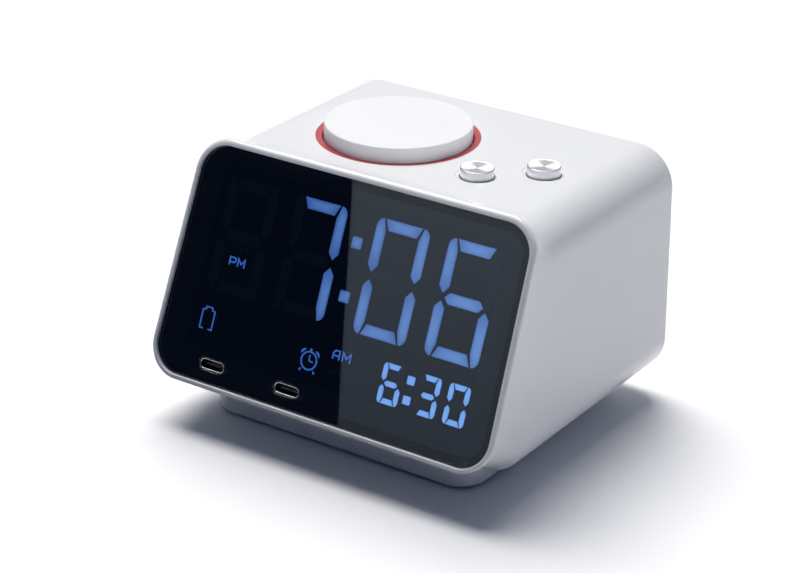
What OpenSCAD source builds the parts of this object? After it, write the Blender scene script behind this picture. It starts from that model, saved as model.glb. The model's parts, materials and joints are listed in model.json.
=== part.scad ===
// Alarm clock with a leaning display, a large snooze button, two top keys and two USB-C sockets.
// The origin is at the middle of the footprint, on the table. The display faces -Y and +Z is up.

/* [Body] */
// Half the body's width at its bottom
body_half_bottom = 60.3; // [58:0.1:63]
// Half the body's width at its top
body_half_top = 58.7; // [56.5:0.1:60.3]
// Height of the flat top surface above the table
body_top = 80.1; // [78:0.1:84]
// Height of the body's underside above the table
body_bottom = 6.2; // [5.5:0.1:7]
// Radius of the body's four long edges
body_corner = 12.2; // [10:0.1:14]
// Distance from the lens centre back to the rear edge
body_depth = 91; // [88:0.5:100]
// Wall thickness of the moulded shells
wall = 2.2; // [1.8:0.1:2.6]

/* [Front] */
// Lean of the display away from upright, in degrees
tilt = 22.5; // [18:0.5:25]
// Height of the lens centre above the table
lens_height = 48.8; // [47.5:0.1:50]
// Half the lens width at mid height
lens_half = 58; // [56:0.1:58.5]
// Half the lens height, measured in its own plane
lens_rise = 35.1; // [33:0.1:35.5]
// How much each half narrows for each millimetre up the lens
lens_taper = 0.029; // [0:0.001:0.035]
// Corner radius of the lens
lens_corner = 9; // [7:0.5:11]
// Thickness of the smoked lens
lens_thick = 2; // [1.5:0.1:2.4]
// Width of the lip round the lens
lip = 1.8; // [1.4:0.1:2.2]
// How far the lip stands out past the lens
lip_proud = 0.7; // [0.4:0.1:1]

/* [Top controls] */
// Sideways place of the snooze button
snooze_x = -15.2; // [-18:0.1:-13]
// Front to back place of the snooze button
snooze_y = 14.4; // [12:0.1:17]
// Outer radius of the red ring
ring_radius = 25; // [23:0.1:26]
// Radius of the snooze button
snooze_radius = 22.6; // [20:0.1:22.6]
// Height of the snooze button above the top surface
snooze_proud = 4.45; // [3:0.05:5]
// How far the snooze button travels
snooze_travel = 1.2; // [0.8:0.1:1.5]
// Radius of each metal key cap
cap_radius = 5; // [4:0.1:5.4]
// Height of each key cap above the top surface
cap_proud = 2.3; // [1.5:0.1:3]
// How far each small key travels
key_travel = 0.6; // [0.4:0.1:0.8]

/* [Base] */
// Half the width of the plinth
base_half = 47.3; // [44:0.1:48]
// Corner radius of the plinth, seen from above
base_corner = 9; // [6:0.5:11]
// Height of the rubber feet under the plinth
foot_height = 1; // [0.8:0.1:1.4]

/* [Rear] */
// How far the rear keys stand out of the rear cover
rear_key_proud = 0.9; // [0.6:0.1:1.5]
// Radius of the field of sound holes
grille_radius = 15; // [10:0.5:17]
// Side to side place of the power inlet
inlet_x = -38; // [-40:0.5:-34]

/* [Hidden] */

// Front to back places, measured so that the footprint is centred on the origin
lip_reach = (lens_rise + lip) * sin(tilt) + lip_proud * cos(tilt);
// How far the rear cover sits inside the body's rear edge, and how thick the cover is
cover_inset = 0.3;
cover_thick = 2.4;
lens_y = (lip_reach - body_depth + cover_inset - rear_key_proud) / 2;
back_y = lens_y + body_depth;
cover_back = back_y - cover_inset;
cover_front = cover_back - cover_thick;

// Length over which the skin runs from the lip's outline into the body's outline
flare = 12.5;
arc_steps = 9;
// Larger than any part of the clock, for cutting away everything on one side of a plane
far = 150;
gap = 0.1;
slip = 0.35;
pocket_depth = lens_thick + 0.3;
sight_inset = 2.8;
lip_back = 0.8;
seam_depth = (lip_back + flare) * cos(tilt);
inner_top = body_top - wall;
inner_bottom = body_bottom + wall;

// Small parts
screw_r = 1.25;
pilot_r = 1.05;
board_thick = 1.6;
key_board_top = 66;
main_board_z = 12.4;
switch_body = 6;
switch_high = 3.5;
switch_bore = 1.65;
plunger_r = 1.3;
plunger_dip = 0.6;

// Heights of the snooze button's parts
ring_top = body_top - 0.15;
ring_lip_bottom = 75.6;
ring_bore = snooze_radius + 0.45;
ring_flange = ring_radius + 2.6;
snooze_top = body_top + snooze_proud;
snooze_flange_top = ring_lip_bottom - slip;
flange_thick = 1.2;
spring_bottom = key_board_top + 0.4;
spring_top = 76.6;

// Places of the two top keys and the four rear keys
key_x = [21.1, 36];
key_y = [1.5, 14.4];
dish_r = 6.4;
dish_deep = 0.5;
rear_key_x = [-27, -9, 9, 27];
rear_key_z = 68;
rear_key_r = 3.4;
rear_flange_thick = 1;
rear_flange = cover_front - slip - rear_flange_thick;
rear_switch_face = rear_flange - key_travel - 0.3;
speaker_z = 38;
speaker_x = 8;
speaker_r = 18;
hole_step = 3.9;
hole_r = 1.1;
inlet_z = 20;
inlet_deep = 8;
cell_x = 0;
cell_y = 22;
cell_r = 10;
base_front = lens_y - 1;
base_back = back_y - 8;
base_low = foot_height;

// Screw places
rear_screw_at = [[-48, 17.5], [48, 17.5], [-46, 69.5], [46, 69.5]];
base_screw_at = [[-38, base_front + 9], [38, base_front + 9], [-38, base_back - 9], [38, base_back - 9]];
foot_at = [[-36, base_front + 20], [36, base_front + 20], [-36, base_back - 20], [36, base_back - 20]];
key_screw_at = [[-44, -8], [44, -6], [-44, 38], [44, 38]];
main_screw_at = [[-40, -6], [40, -6], [-40, 28], [40, 28]];
speaker_screw_at = [45, 135, 225, 315];

// Display layout in the lens plane: across, up
digit_w = 18.05;
digit_h = 34.1;
digit_bar = 3.3;
digit_top = 26.5;
digit_left = [-22.65, 5.8, 30.3];
digit_on = [[1, 1, 1, 0, 0, 0, 0], [1, 1, 1, 1, 1, 1, 0], [1, 0, 1, 1, 1, 1, 1]];
small_w = 7;
small_h = 11.8;
small_bar = 1.6;
small_top = -13;
small_left = [18.9, 31.5, 41.2];
small_on = [[1, 0, 1, 1, 1, 1, 1], [1, 1, 1, 1, 0, 0, 1], [1, 1, 1, 1, 1, 1, 0]];
port_x = [-37.75, -10.4];
port_v = -29.5;
port_w = 9.1;
port_h = 3.7;
shell_w = 8.94;
shell_h = 3.26;
shell_long = 9.6;
shell_wall = 0.3;
shell_recess = 0.35;
tongue_w = 6.69;
tongue_h = 0.7;
lcd_front = 2.75;
segment_thick = 0.15;
lcd_thick = 1.8;
light_thick = 3.4;
frame_back = 9.2;
lcd_half = 50;
lcd_low = -26.4;
lcd_high = 30.4;
frame_half = 52.6;
frame_low = -27.3;
frame_high = 31.6;

// ---------- outlines ----------

function lerp(a, b, t) = a + (b - a) * t;

// Points round an outline with straight tapering sides and four round corners, from the right top corner
function corner_arc(cx, cy, r, start) =
    [for (i = [0:arc_steps]) let(a = start + 90 * i / arc_steps) [cx + r * cos(a), cy + r * sin(a)]];

function half_at(low, high, y0, y1, y) = lerp(low, high, (y - y0) / (y1 - y0));

function outline(low, high, y0, y1, r) = let(
        top = half_at(low, high, y0, y1, y1 - r) - r,
        bottom = half_at(low, high, y0, y1, y0 + r) - r)
    concat(
        corner_arc(top, y1 - r, r, 0),
        corner_arc(-top, y1 - r, r, 90),
        corner_arc(-bottom, y0 + r, r, 180),
        corner_arc(bottom, y0 + r, r, 270));

function lens_half_at(v) = lens_half - lens_taper * v;

// Outline of the lens in its own plane, drawn in by an inset
function lens_outline(inset) = outline(
    lens_half_at(-lens_rise) - inset, lens_half_at(lens_rise) - inset,
    -lens_rise + inset, lens_rise - inset, lens_corner - inset);

// Outline of the lip, in the lens plane, drawn in by an inset
function lip_outline(inset) = outline(
    lens_half_at(-lens_rise) + lip - inset, lens_half_at(lens_rise) + lip - inset,
    -lens_rise - lip + inset, lens_rise + lip - inset, lens_corner + lip - inset);

// Outline of the body, seen from the front
function body_outline(inset) = outline(
    body_half_bottom - inset, body_half_top - inset,
    body_bottom + inset, body_top - inset, body_corner - inset);

// A point of the front view, set back along Y from the leaning plane of the lens
function leaned(x, z, back) = [x, lens_y + (z - lens_height) * tan(tilt) + back, z];

// Ring of the lip outline, drawn in by an inset, set back along Y from the plane of the lens
function lip_ring(inset, back) =
    [for (p = lip_outline(inset)) leaned(p[0], lens_height + p[1] * cos(tilt), back)];

// Ring of the lens outline, drawn in by an inset, at a depth behind the lens face
function deep_ring(inset, depth) = [for (p = lens_outline(inset))
    [p[0], lens_y + p[1] * sin(tilt) + depth * cos(tilt),
        lens_height + p[1] * cos(tilt) - depth * sin(tilt)]];

// The skin leaves the lip quickly at the top, in a hollow curve, and slowly underneath
function skin_share(v, u) = let(w = min(1, max(0, (v + 20) / 40)))
    lerp(pow(u, 1.5), 1 - pow(1 - u, 2.2), w);

function skin_ring(u) = let(lip_line = lip_outline(0), body_line = body_outline(0))
    [for (k = [0:len(lip_line) - 1]) let(t = skin_share(lip_line[k][1], u))
        leaned(lerp(lip_line[k][0], body_line[k][0], t),
            lerp(lens_height + lip_line[k][1] * cos(tilt), body_line[k][1], t), lip_back + u * flare)];

// Solid through a list of rings that have the same number of points
module ring_solid(rings) {
    n = len(rings[0]);
    m = len(rings);
    polyhedron(
        points = [for (ring = rings) for (p = ring) p],
        faces = concat(
            [[for (k = [0:n - 1]) k]],
            [for (j = [0:m - 2]) for (k = [0:n - 1]) each [
                [j * n + k, (j + 1) * n + k, j * n + (k + 1) % n],
                [j * n + (k + 1) % n, (j + 1) * n + k, (j + 1) * n + (k + 1) % n]]],
            [[for (k = [n - 1:-1:0]) (m - 1) * n + k]]));
}

// Solid that goes once round through a list of rings and back to the first, with an opening in its middle
module ring_loop(rings) {
    n = len(rings[0]);
    m = len(rings);
    polyhedron(
        points = [for (ring = rings) for (p = ring) p],
        faces = [for (j = [0:m - 1]) for (k = [0:n - 1]) let(next = (j + 1) % m, side = (k + 1) % n) each [
            [j * n + k, next * n + k, j * n + side],
            [j * n + side, next * n + k, next * n + side]]]);
}

module body_profile(inset) {
    polygon(body_outline(inset));
}

module lens_profile(inset) {
    polygon(lens_outline(inset));
}

// Straight prism along Y of a front-view profile
module along_y(from, to) {
    translate([0, to, 0]) rotate([90, 0, 0]) linear_extrude(to - from) children();
}

// Moves a shape drawn in the lens plane, with its local z pointing out of the lens
module on_lens() {
    translate([0, lens_y, lens_height]) rotate([90 - tilt, 0, 0]) children();
}

// Slab of a lens-plane profile between two depths behind the lens face
module lens_slab(front, back) {
    on_lens() translate([0, 0, -back]) linear_extrude(back - front) children();
}

module round_rect(x0, x1, y0, y1, r) {
    translate([x0 + r, y0]) square([x1 - x0 - 2 * r, y1 - y0]);
    translate([x0, y0 + r]) square([x1 - x0, y1 - y0 - 2 * r]);
    for (x = [x0 + r, x1 - r], y = [y0 + r, y1 - r]) translate([x, y]) circle(r, $fn = 48);
}

module slot(x, y, w, h) {
    translate([x - w / 2 + h / 2, y - h / 2]) square([w - h, h]);
    for (s = [-1, 1]) translate([x + s * (w - h) / 2, y]) circle(h / 2, $fn = 48);
}

// Screw with a round head and a cross recess, head up, under-head face at z = 0
module screw(length, head_r = 2.3, head_h = 1.6) {
    difference() {
        union() {
            cylinder(r = head_r, h = head_h, $fn = 32);
            translate([0, 0, -length]) cylinder(r = pilot_r, h = length, $fn = 24);
        }
        for (a = [0, 90]) rotate([0, 0, a])
            translate([-head_r * 0.6, -0.25, head_h - 0.8]) cube([head_r * 1.2, 0.5, 1]);
    }
}

// ---------- shell, covers and base ----------

// Front moulding: the lip, the seat of the lens, and the hollow curve that runs into the body
module front_bezel() {
    reach = lip_proud / cos(tilt);
    color("white") ring_loop([
        lip_ring(1.1, -reach), lip_ring(0.55, -0.85 * reach), lip_ring(0.15, -0.35 * reach),
        lip_ring(0, 0.3), skin_ring(0), skin_ring(0.12), skin_ring(0.26), skin_ring(0.42),
        skin_ring(0.6), skin_ring(0.8), skin_ring(1),
        deep_ring(sight_inset, seam_depth), deep_ring(sight_inset, pocket_depth),
        deep_ring(-gap, pocket_depth), deep_ring(-gap, -lip_proud)]);
}

// Everything more than a given distance behind the lens face
module behind_lens(depth) {
    on_lens() translate([-far, -far, -far - depth]) cube([2 * far, 2 * far, far]);
}

module tube() {
    intersection() {
        difference() {
            along_y(lens_y - 20, back_y) body_profile(0);
            along_y(lens_y - 21, back_y + 1) body_profile(wall);
            along_y(cover_front, back_y + 1) body_profile(wall - 1);
        }
        behind_lens(seam_depth);
    }
}

module pillar_z(x, y, z0, z1, r) {
    translate([x, y, z0]) cylinder(r = r, h = z1 - z0, $fn = 32);
}

module pilot_z(x, y, z0, z1) {
    translate([x, y, z0]) cylinder(r = pilot_r, h = z1 - z0, $fn = 24);
}

module housing_shell() {
    color("white") difference() {
        union() {
            tube();
            for (p = rear_screw_at) {
                translate([p[0], cover_front - 12, p[1]]) rotate([-90, 0, 0])
                    cylinder(r = 3, h = 12, $fn = 32);
                translate([p[0] > 0 ? p[0] : p[0] - 11, cover_front - 12, p[1] - 0.8])
                    cube([11, 12, 1.6]);
            }
            for (p = key_screw_at) pillar_z(p[0], p[1], key_board_top, inner_top + 0.5, 2.8);
            for (p = main_screw_at) pillar_z(p[0], p[1], inner_bottom - 0.5, main_board_z, 2.8);
            for (p = base_screw_at) pillar_z(p[0], p[1], inner_bottom - 0.5, inner_bottom + 2.4, 3.4);
            intersection() {
                on_lens() for (x = usb_post_x) translate([x, usb_low, -usb_post_depth]) rotate([90, 0, 0])
                    cylinder(r = 2.4, h = 12, $fn = 32);
                translate([-60, -60, inner_bottom - 0.5]) cube([120, 60, 30]);
            }
        }
        on_lens() for (x = usb_post_x) translate([x, usb_low - 3.8, -usb_post_depth]) rotate([-90, 0, 0])
            cylinder(r = pilot_r, h = 5, $fn = 24);
        translate([snooze_x, snooze_y, 70]) cylinder(r = ring_radius + gap / 2, h = 20, $fn = 128);
        for (i = [0, 1]) translate([key_x[i], key_y[i], 0]) {
            translate([0, 0, 70]) cylinder(r = cap_radius + slip, h = 20, $fn = 64);
            translate([0, 0, body_top - dish_deep])
                cylinder(r1 = cap_radius + slip, r2 = dish_r, h = dish_deep, $fn = 64);
        }
        for (p = rear_screw_at) translate([p[0], cover_front - 10, p[1]]) rotate([-90, 0, 0])
            cylinder(r = pilot_r, h = 11, $fn = 24);
        for (p = key_screw_at) pilot_z(p[0], p[1], key_board_top - 1, key_board_top + 6);
        for (p = main_screw_at) pilot_z(p[0], p[1], main_board_z - 3, main_board_z + 1);
        for (p = base_screw_at) pilot_z(p[0], p[1], body_bottom - 1, inner_bottom + 3);
        translate([cell_x, cell_y, body_bottom - 1]) cylinder(r = cell_r + 1.4, h = 5, $fn = 64);
    }
}

// Sound holes on a staggered pattern, inside a circle
module sound_holes() {
    for (i = [-4:4], j = [-4:4]) {
        x = (i + (j % 2 == 0 ? 0 : 0.5)) * hole_step;
        z = j * hole_step * 0.866;
        if (x * x + z * z <= grille_radius * grille_radius)
            translate([speaker_x + x, cover_front - 1, speaker_z + z]) rotate([-90, 0, 0])
                cylinder(r = hole_r, h = cover_thick + 2, $fn = 24);
    }
}

module rear_cover() {
    color("white") difference() {
        along_y(cover_front, cover_back) body_profile(wall - 1 + gap);
        sound_holes();
        for (p = rear_screw_at) translate([p[0], 0, p[1]]) rotate([-90, 0, 0]) {
            translate([0, 0, cover_front - 1]) cylinder(r = screw_r + 0.15, h = 6, $fn = 24);
            translate([0, 0, cover_back - 1.5]) cylinder(r = 2.6, h = 3, $fn = 32);
        }
        for (x = rear_key_x) translate([x, cover_front - 1, rear_key_z]) rotate([-90, 0, 0])
            cylinder(r = rear_key_r + slip, h = 6, $fn = 48);
        translate([inlet_x, cover_front - 1, inlet_z]) rotate([-90, 0, 0])
            cylinder(r = 4.1, h = 6, $fn = 48);
        speaker_screw_places() translate([0, 0, -1.6]) cylinder(r = pilot_r, h = 3, $fn = 24);
    }
}

module plinth_outline(inset) {
    round_rect(-base_half + inset, base_half - inset,
        base_front + inset, base_back - inset, base_corner - inset);
}

module base_plinth() {
    color("white") difference() {
        translate([0, 0, base_low]) linear_extrude(body_bottom - base_low) plinth_outline(0);
        translate([0, 0, base_low + 2]) linear_extrude(10) difference() {
            plinth_outline(2);
            for (p = base_screw_at) translate(p) circle(r = 4.6, $fn = 32);
            translate([cell_x, cell_y]) circle(r = cell_r + 4, $fn = 64);
        }
        for (p = base_screw_at) {
            translate([p[0], p[1], 0]) cylinder(r = screw_r + 0.15, h = 8, $fn = 24);
            translate([p[0], p[1], 0]) cylinder(r = 2.7, h = base_low + 2.2, $fn = 32);
        }
        for (p = foot_at) translate([p[0], p[1], 0]) cylinder(r = 5.1, h = base_low + 0.6, $fn = 48);
        translate([cell_x, cell_y, 0]) cylinder(r = cell_r + 0.6, h = 8, $fn = 64);
        translate([cell_x, cell_y, 0]) cylinder(r = cell_r + 2.3, h = base_low + 1.5, $fn = 64);
    }
}

module ballast_plate() {
    color("dimgray") translate([0, 0, base_low + 2.1]) linear_extrude(2.4) difference() {
        round_rect(-base_half + 4, base_half - 4, base_front + 16, base_back - 16, 4);
        translate([cell_x, cell_y]) circle(r = cell_r + 4.5, $fn = 64);
        for (p = base_screw_at) translate(p) circle(r = 5.2, $fn = 32);
    }
}

module rubber_feet() {
    color("darkgray") for (p = foot_at)
        translate([p[0], p[1], 0]) cylinder(r = 5, h = base_low + 0.55, $fn = 48);
}

module base_screws() {
    color("silver") for (p = base_screw_at)
        translate([p[0], p[1], base_low + 2.2]) rotate([180, 0, 0]) screw(6, 2.4, 1.5);
}

module rear_screws() {
    color("silver") for (p = rear_screw_at)
        translate([p[0], cover_back - 1.5, p[1]]) rotate([-90, 0, 0]) screw(9, 2.3, 1.4);
}

// ---------- display ----------

module front_lens() {
    color([0.05, 0.06, 0.1, 0.85]) lens_slab(0, lens_thick) difference() {
        lens_profile(0);
        for (x = port_x) slot(x, port_v, port_w, port_h);
    }
}

module lens_tape() {
    color("black") lens_slab(lens_thick, pocket_depth) difference() {
        lens_profile(0.3);
        lens_profile(sight_inset - 0.1);
    }
}

// One bar of a digit: horizontal bars taper at their ends, upright bars come to a point at mid height
module top_bar(w, t) {
    polygon([[t * 0.83, 0], [w - t * 0.83, 0], [w - t - t * 0.33, -t], [t + t * 0.33, -t]]);
}

module side_bar(h, t) {
    mid = h / 2;
    polygon([[0.5 * t, 0], [0, -0.35 * t], [0, -mid + 0.95 * t], [0.5 * t, -mid + 0.35 * t],
        [t, -mid + 0.95 * t], [t, -1.2 * t], [0.68 * t, -0.1 * t]]);
}

module mid_bar(w, t) {
    polygon([[0.83 * t, 0], [1.25 * t, t / 2], [w - 1.25 * t, t / 2], [w - 0.83 * t, 0],
        [w - 1.25 * t, -t / 2], [1.25 * t, -t / 2]]);
}

// A digit with its top left corner at the origin; on lists the bars clockwise from the top, then the middle
module digit(w, h, t, on) {
    if (on[0] == 1) top_bar(w, t);
    if (on[1] == 1) translate([w, 0]) mirror([1, 0]) side_bar(h, t);
    if (on[2] == 1) translate([w, -h]) rotate(180) side_bar(h, t);
    if (on[3] == 1) translate([0, -h]) mirror([0, 1]) top_bar(w, t);
    if (on[4] == 1) translate([0, -h]) mirror([0, 1]) side_bar(h, t);
    if (on[5] == 1) side_bar(h, t);
    if (on[6] == 1) translate([0, -h / 2]) mid_bar(w, t);
}

module lit() {
    color("cornflowerblue") lens_slab(lcd_front - segment_thick, lcd_front) children();
}

module time_segments() {
    lit() {
        for (i = [0:2]) translate([digit_left[i], digit_top])
            digit(digit_w, digit_h, digit_bar, digit_on[i]);
        for (v = [15.7, -0.3]) translate([-1.1, v]) square([3.4, 3.5]);
    }
}

module alarm_segments() {
    lit() {
        for (i = [0:2]) translate([small_left[i], small_top])
            digit(small_w, small_h, small_bar, small_on[i]);
        for (v = [-17.3, -23.1]) translate([27.4, v]) square([2.5, 2.5]);
    }
}

// Strokes of an M, with its lower left corner at the origin
module letter_m(w, h, t) {
    polygon([[0, 0], [0, h], [t, h], [w / 2, h * 0.45], [w - t, h], [w, h], [w, 0], [w - t, 0],
        [w - t, h - 1.4 * t], [w / 2, h * 0.45 - 1.4 * t], [t, h - 1.4 * t], [t, 0]]);
}

module letter_a(w, h, t) {
    difference() {
        square([w, h]);
        translate([t, h * 0.5]) square([w - 2 * t, h * 0.5 - t]);
        translate([t, -1]) square([w - 2 * t, 1 + h * 0.5 - t]);
    }
}

module letter_p(w, h, t) {
    difference() {
        square([w, h]);
        translate([t, h * 0.42]) square([w - 2 * t, h * 0.58 - t]);
        translate([t, -1]) square([w, 1 + h * 0.42 - t]);
    }
}

module clock_icon() {
    difference() {
        circle(r = 2.9, $fn = 48);
        circle(r = 2.4, $fn = 48);
    }
    translate([-0.2, 0]) square([0.4, 1.7]);
    translate([-0.2, -0.2]) square([1.7, 0.4]);
    for (s = [-1, 1]) {
        translate([s * 2.75, 2.4]) circle(r = 0.85, $fn = 24);
        translate([s * 2.4, -2.6]) circle(r = 0.35, $fn = 24);
    }
    translate([0, 3.4]) circle(r = 0.4, $fn = 24);
}

module battery_icon() {
    difference() {
        union() {
            square([4.7, 6]);
            translate([1, 6]) square([2.7, 0.8]);
        }
        translate([0.45, -1]) square([3.8, 6.5]);
    }
}

module display_icons() {
    lit() {
        translate([-41, 0.8]) letter_p(2.6, 2.4, 0.5);
        translate([-37.9, 0.8]) letter_m(2.9, 2.4, 0.5);
        translate([1.4, -16.8]) letter_a(2.9, 2.6, 0.5);
        translate([4.8, -16.8]) letter_m(3.1, 2.6, 0.5);
        translate([-6.15, -19.3]) clock_icon();
        translate([-46.5, -19.7]) battery_icon();
    }
}

module lcd_glass() {
    color("midnightblue") lens_slab(lcd_front, lcd_front + lcd_thick)
        translate([-lcd_half, lcd_low]) square([2 * lcd_half, lcd_high - lcd_low]);
}

module lcd_backlight() {
    back = lcd_front + lcd_thick;
    color("ivory") lens_slab(back + 0.05, back + light_thick)
        translate([-lcd_half, lcd_low]) square([2 * lcd_half, lcd_high - lcd_low]);
}

module frame_outline(inset) {
    round_rect(-frame_half + inset, frame_half - inset, frame_low + inset, frame_high - inset, 3);
}

module display_screw_places() {
    for (x = [-49, 49], v = [-23, 27]) translate([x, v]) children();
}

module lcd_frame() {
    color("black") difference() {
        lens_slab(lcd_front - 0.1, frame_back) frame_outline(0);
        lens_slab(lcd_front - 1, frame_back - 1.2)
            translate([-lcd_half - gap, lcd_low - gap])
            square([2 * (lcd_half + gap), lcd_high - lcd_low + 2 * gap]);
        lens_slab(frame_back - 2, frame_back + 1) display_screw_places() circle(r = pilot_r, $fn = 24);
    }
}

module display_board() {
    color("darkgreen") lens_slab(frame_back, frame_back + board_thick) difference() {
        frame_outline(0.4);
        display_screw_places() circle(r = screw_r, $fn = 24);
    }
}

module display_screws() {
    color("silver") on_lens() display_screw_places()
        translate([0, 0, -frame_back - board_thick]) rotate([180, 0, 0]) screw(2.6, 1.9, 1.2);
}

// ---------- boards ----------

module main_board() {
    color("darkgreen") difference() {
        translate([-44, -12, main_board_z]) cube([88, 46, board_thick]);
        for (p = main_screw_at) pilot_z(p[0], p[1], main_board_z - 1, main_board_z + 3);
    }
}

module control_chip() {
    color("black") translate([-12, -2, main_board_z + board_thick]) cube([14, 14, 1.4]);
}

module board_parts() {
    top = main_board_z + board_thick;
    color("gray") {
        translate([-28, 10, top]) cylinder(r = 4, h = 11, $fn = 48);
        translate([-28, 22, top]) cylinder(r = 4, h = 11, $fn = 48);
        translate([-16, 18, top]) cube([10, 10, 5]);
        translate([8, -8, top]) cylinder(r = 2, h = 6, $fn = 32);
        translate([14, -10, top]) cube([12, 5, 5]);
        translate([-6, -10, top]) cube([8, 4, 3.2]);
    }
}

module main_screws() {
    color("silver") for (p = main_screw_at)
        translate([p[0], p[1], main_board_z + board_thick]) screw(4.4, 2.2, 1.5);
}

module key_board() {
    color("darkgreen") difference() {
        translate([-49, -13, key_board_top - board_thick]) cube([98, 54, board_thick]);
        for (p = key_screw_at) pilot_z(p[0], p[1], key_board_top - 3, key_board_top + 1);
    }
}

module key_screws() {
    color("silver") for (p = key_screw_at)
        translate([p[0], p[1], key_board_top - board_thick]) rotate([180, 0, 0]) screw(7, 2.2, 1.5);
}

// Body of a push switch, with the well that its plunger dips into
module push_switch() {
    difference() {
        translate([-switch_body / 2, -switch_body / 2, 0]) cube([switch_body, switch_body, switch_high]);
        translate([0, 0, 1.2]) cylinder(r = switch_bore, h = switch_high, $fn = 32);
    }
}

switch_at = [[snooze_x, snooze_y], [key_x[0], key_y[0]], [key_x[1], key_y[1]]];
plunger_end = key_board_top + switch_high - plunger_dip;

module key_switches() {
    color("dimgray") for (p = switch_at) translate([p[0], p[1], key_board_top]) push_switch();
}

usb_low = port_v - shell_h / 2 - 1;
usb_post_depth = 14.9;
usb_post_x = [-43.5, 1.5];

module usb_board() {
    color("darkgreen") on_lens() difference() {
        translate([-46, usb_low, -17.8]) cube([50, 1, 13.2]);
        for (x = usb_post_x) translate([x, usb_low - 1, -usb_post_depth]) rotate([-90, 0, 0])
            cylinder(r = screw_r, h = 4, $fn = 24);
    }
}

module usb_shell(x) {
    color("silver") lens_slab(shell_recess, shell_recess + shell_long) difference() {
        slot(x, port_v, shell_w, shell_h);
        slot(x, port_v, shell_w - 2 * shell_wall, shell_h - 2 * shell_wall);
    }
}

module usb_shell_left() usb_shell(port_x[0]);

module usb_shell_right() usb_shell(port_x[1]);

module usb_tongues() {
    color("black") on_lens() for (x = port_x) {
        translate([x, port_v, -8.2]) linear_extrude(6.6) square([tongue_w, tongue_h], center = true);
        translate([0, 0, 0.3 - shell_long - shell_recess]) linear_extrude(1.4)
            slot(x, port_v, shell_w - 0.7, shell_h - 0.7);
    }
}

module usb_screws() {
    color("silver") on_lens() for (x = usb_post_x)
        translate([x, usb_low + 1, -usb_post_depth]) rotate([-90, 0, 0]) screw(4.4, 1.9, 1);
}

// ---------- snooze button ----------

module snooze_ring() {
    color([0.85, 0.2, 0.22]) translate([snooze_x, snooze_y, 0]) rotate_extrude($fn = 128)
        polygon([[ring_bore, ring_top], [ring_radius, ring_top],
            [ring_radius, inner_top - gap], [ring_flange, inner_top - gap],
            [ring_flange, ring_lip_bottom], [ring_bore, ring_lip_bottom]]);
}

module snooze_button() {
    skirt_in = snooze_radius - 1.6;
    flange_low = snooze_flange_top - flange_thick;
    color("white") translate([snooze_x, snooze_y, 0]) {
        rotate_extrude($fn = 128)
            polygon([[0, snooze_top - 1.8], [skirt_in, snooze_top - 1.8],
                [skirt_in, flange_low], [snooze_radius + 1.5, flange_low],
                [snooze_radius + 1.5, snooze_flange_top], [snooze_radius, snooze_flange_top],
                [snooze_radius, snooze_top - 0.5], [snooze_radius - 0.15, snooze_top - 0.15],
                [snooze_radius - 0.5, snooze_top], [0, snooze_top]]);
        translate([0, 0, plunger_end]) cylinder(r = plunger_r, h = snooze_top - plunger_end - 1, $fn = 48);
        translate([0, 0, key_board_top + switch_high + snooze_travel + 0.3])
            cylinder(r = 2.6, h = snooze_top - key_board_top - switch_high - snooze_travel - 1.3, $fn = 48);
        difference() {
            translate([0, 0, spring_top]) cylinder(r = 6.4, h = snooze_top - spring_top - 1, $fn = 64);
            translate([0, 0, spring_top - 1]) cylinder(r = 5.2, h = 3, $fn = 64);
        }
    }
}

// Round guide on the board that keeps the button level and seats its spring
module snooze_guide() {
    color("lightgray") translate([snooze_x, snooze_y, key_board_top]) difference() {
        cylinder(r = 20, h = 6.6, $fn = 96);
        translate([0, 0, 0.4]) cylinder(r = 18.8, h = 9, $fn = 96);
        translate([0, 0, -1]) cylinder(r = 4.5, h = 3, $fn = 48);
    }
}

spring_turns = 4;
spring_steps = 14;
spring_mean = 5.6;
spring_wire = 0.35;
spring_sides = 6;

function coil_point(a, r, z) = [r * cos(a), r * sin(a), z];

module snooze_spring() {
    count = spring_turns * spring_steps;
    rise = spring_top - spring_bottom - 2 * spring_wire - 0.1;
    color("silver") translate([snooze_x, snooze_y, spring_bottom + spring_wire + 0.05])
        ring_solid([for (i = [0:count]) let(a = -360 * i / spring_steps, z = rise * i / count)
            [for (k = [0:spring_sides - 1]) let(b = 360 * k / spring_sides)
                coil_point(a, spring_mean + spring_wire * cos(b), z + spring_wire * sin(b))]]);
}

// ---------- top keys ----------

module key_cap(i) {
    top = body_top + cap_proud;
    color("silver") translate([key_x[i], key_y[i], 0]) rotate_extrude($fn = 96)
        polygon([[0, top - 0.35], [cap_radius - 0.45, top], [cap_radius - 0.12, top - 0.1],
            [cap_radius, top - 0.4], [cap_radius, inner_top - slip + 0.05],
            [cap_radius - 0.5, inner_top - slip + 0.05],
            [cap_radius - 0.5, top - 1.2], [0, top - 1.2]]);
}

module key_stem(i) {
    top = body_top + cap_proud - 1.2;
    flange_top = inner_top - slip;
    color("white") translate([key_x[i], key_y[i], 0]) {
        translate([0, 0, flange_top - 0.5])
            cylinder(r = cap_radius - 0.55, h = top - flange_top + 0.5, $fn = 64);
        translate([0, 0, flange_top - flange_thick])
            cylinder(r = cap_radius + 1.4, h = flange_thick, $fn = 64);
        translate([0, 0, plunger_end]) cylinder(r = plunger_r, h = flange_top - plunger_end, $fn = 48);
    }
}

module left_key_cap() key_cap(0);

module left_key_stem() key_stem(0);

module right_key_cap() key_cap(1);

module right_key_stem() key_stem(1);

// ---------- rear ----------

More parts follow.
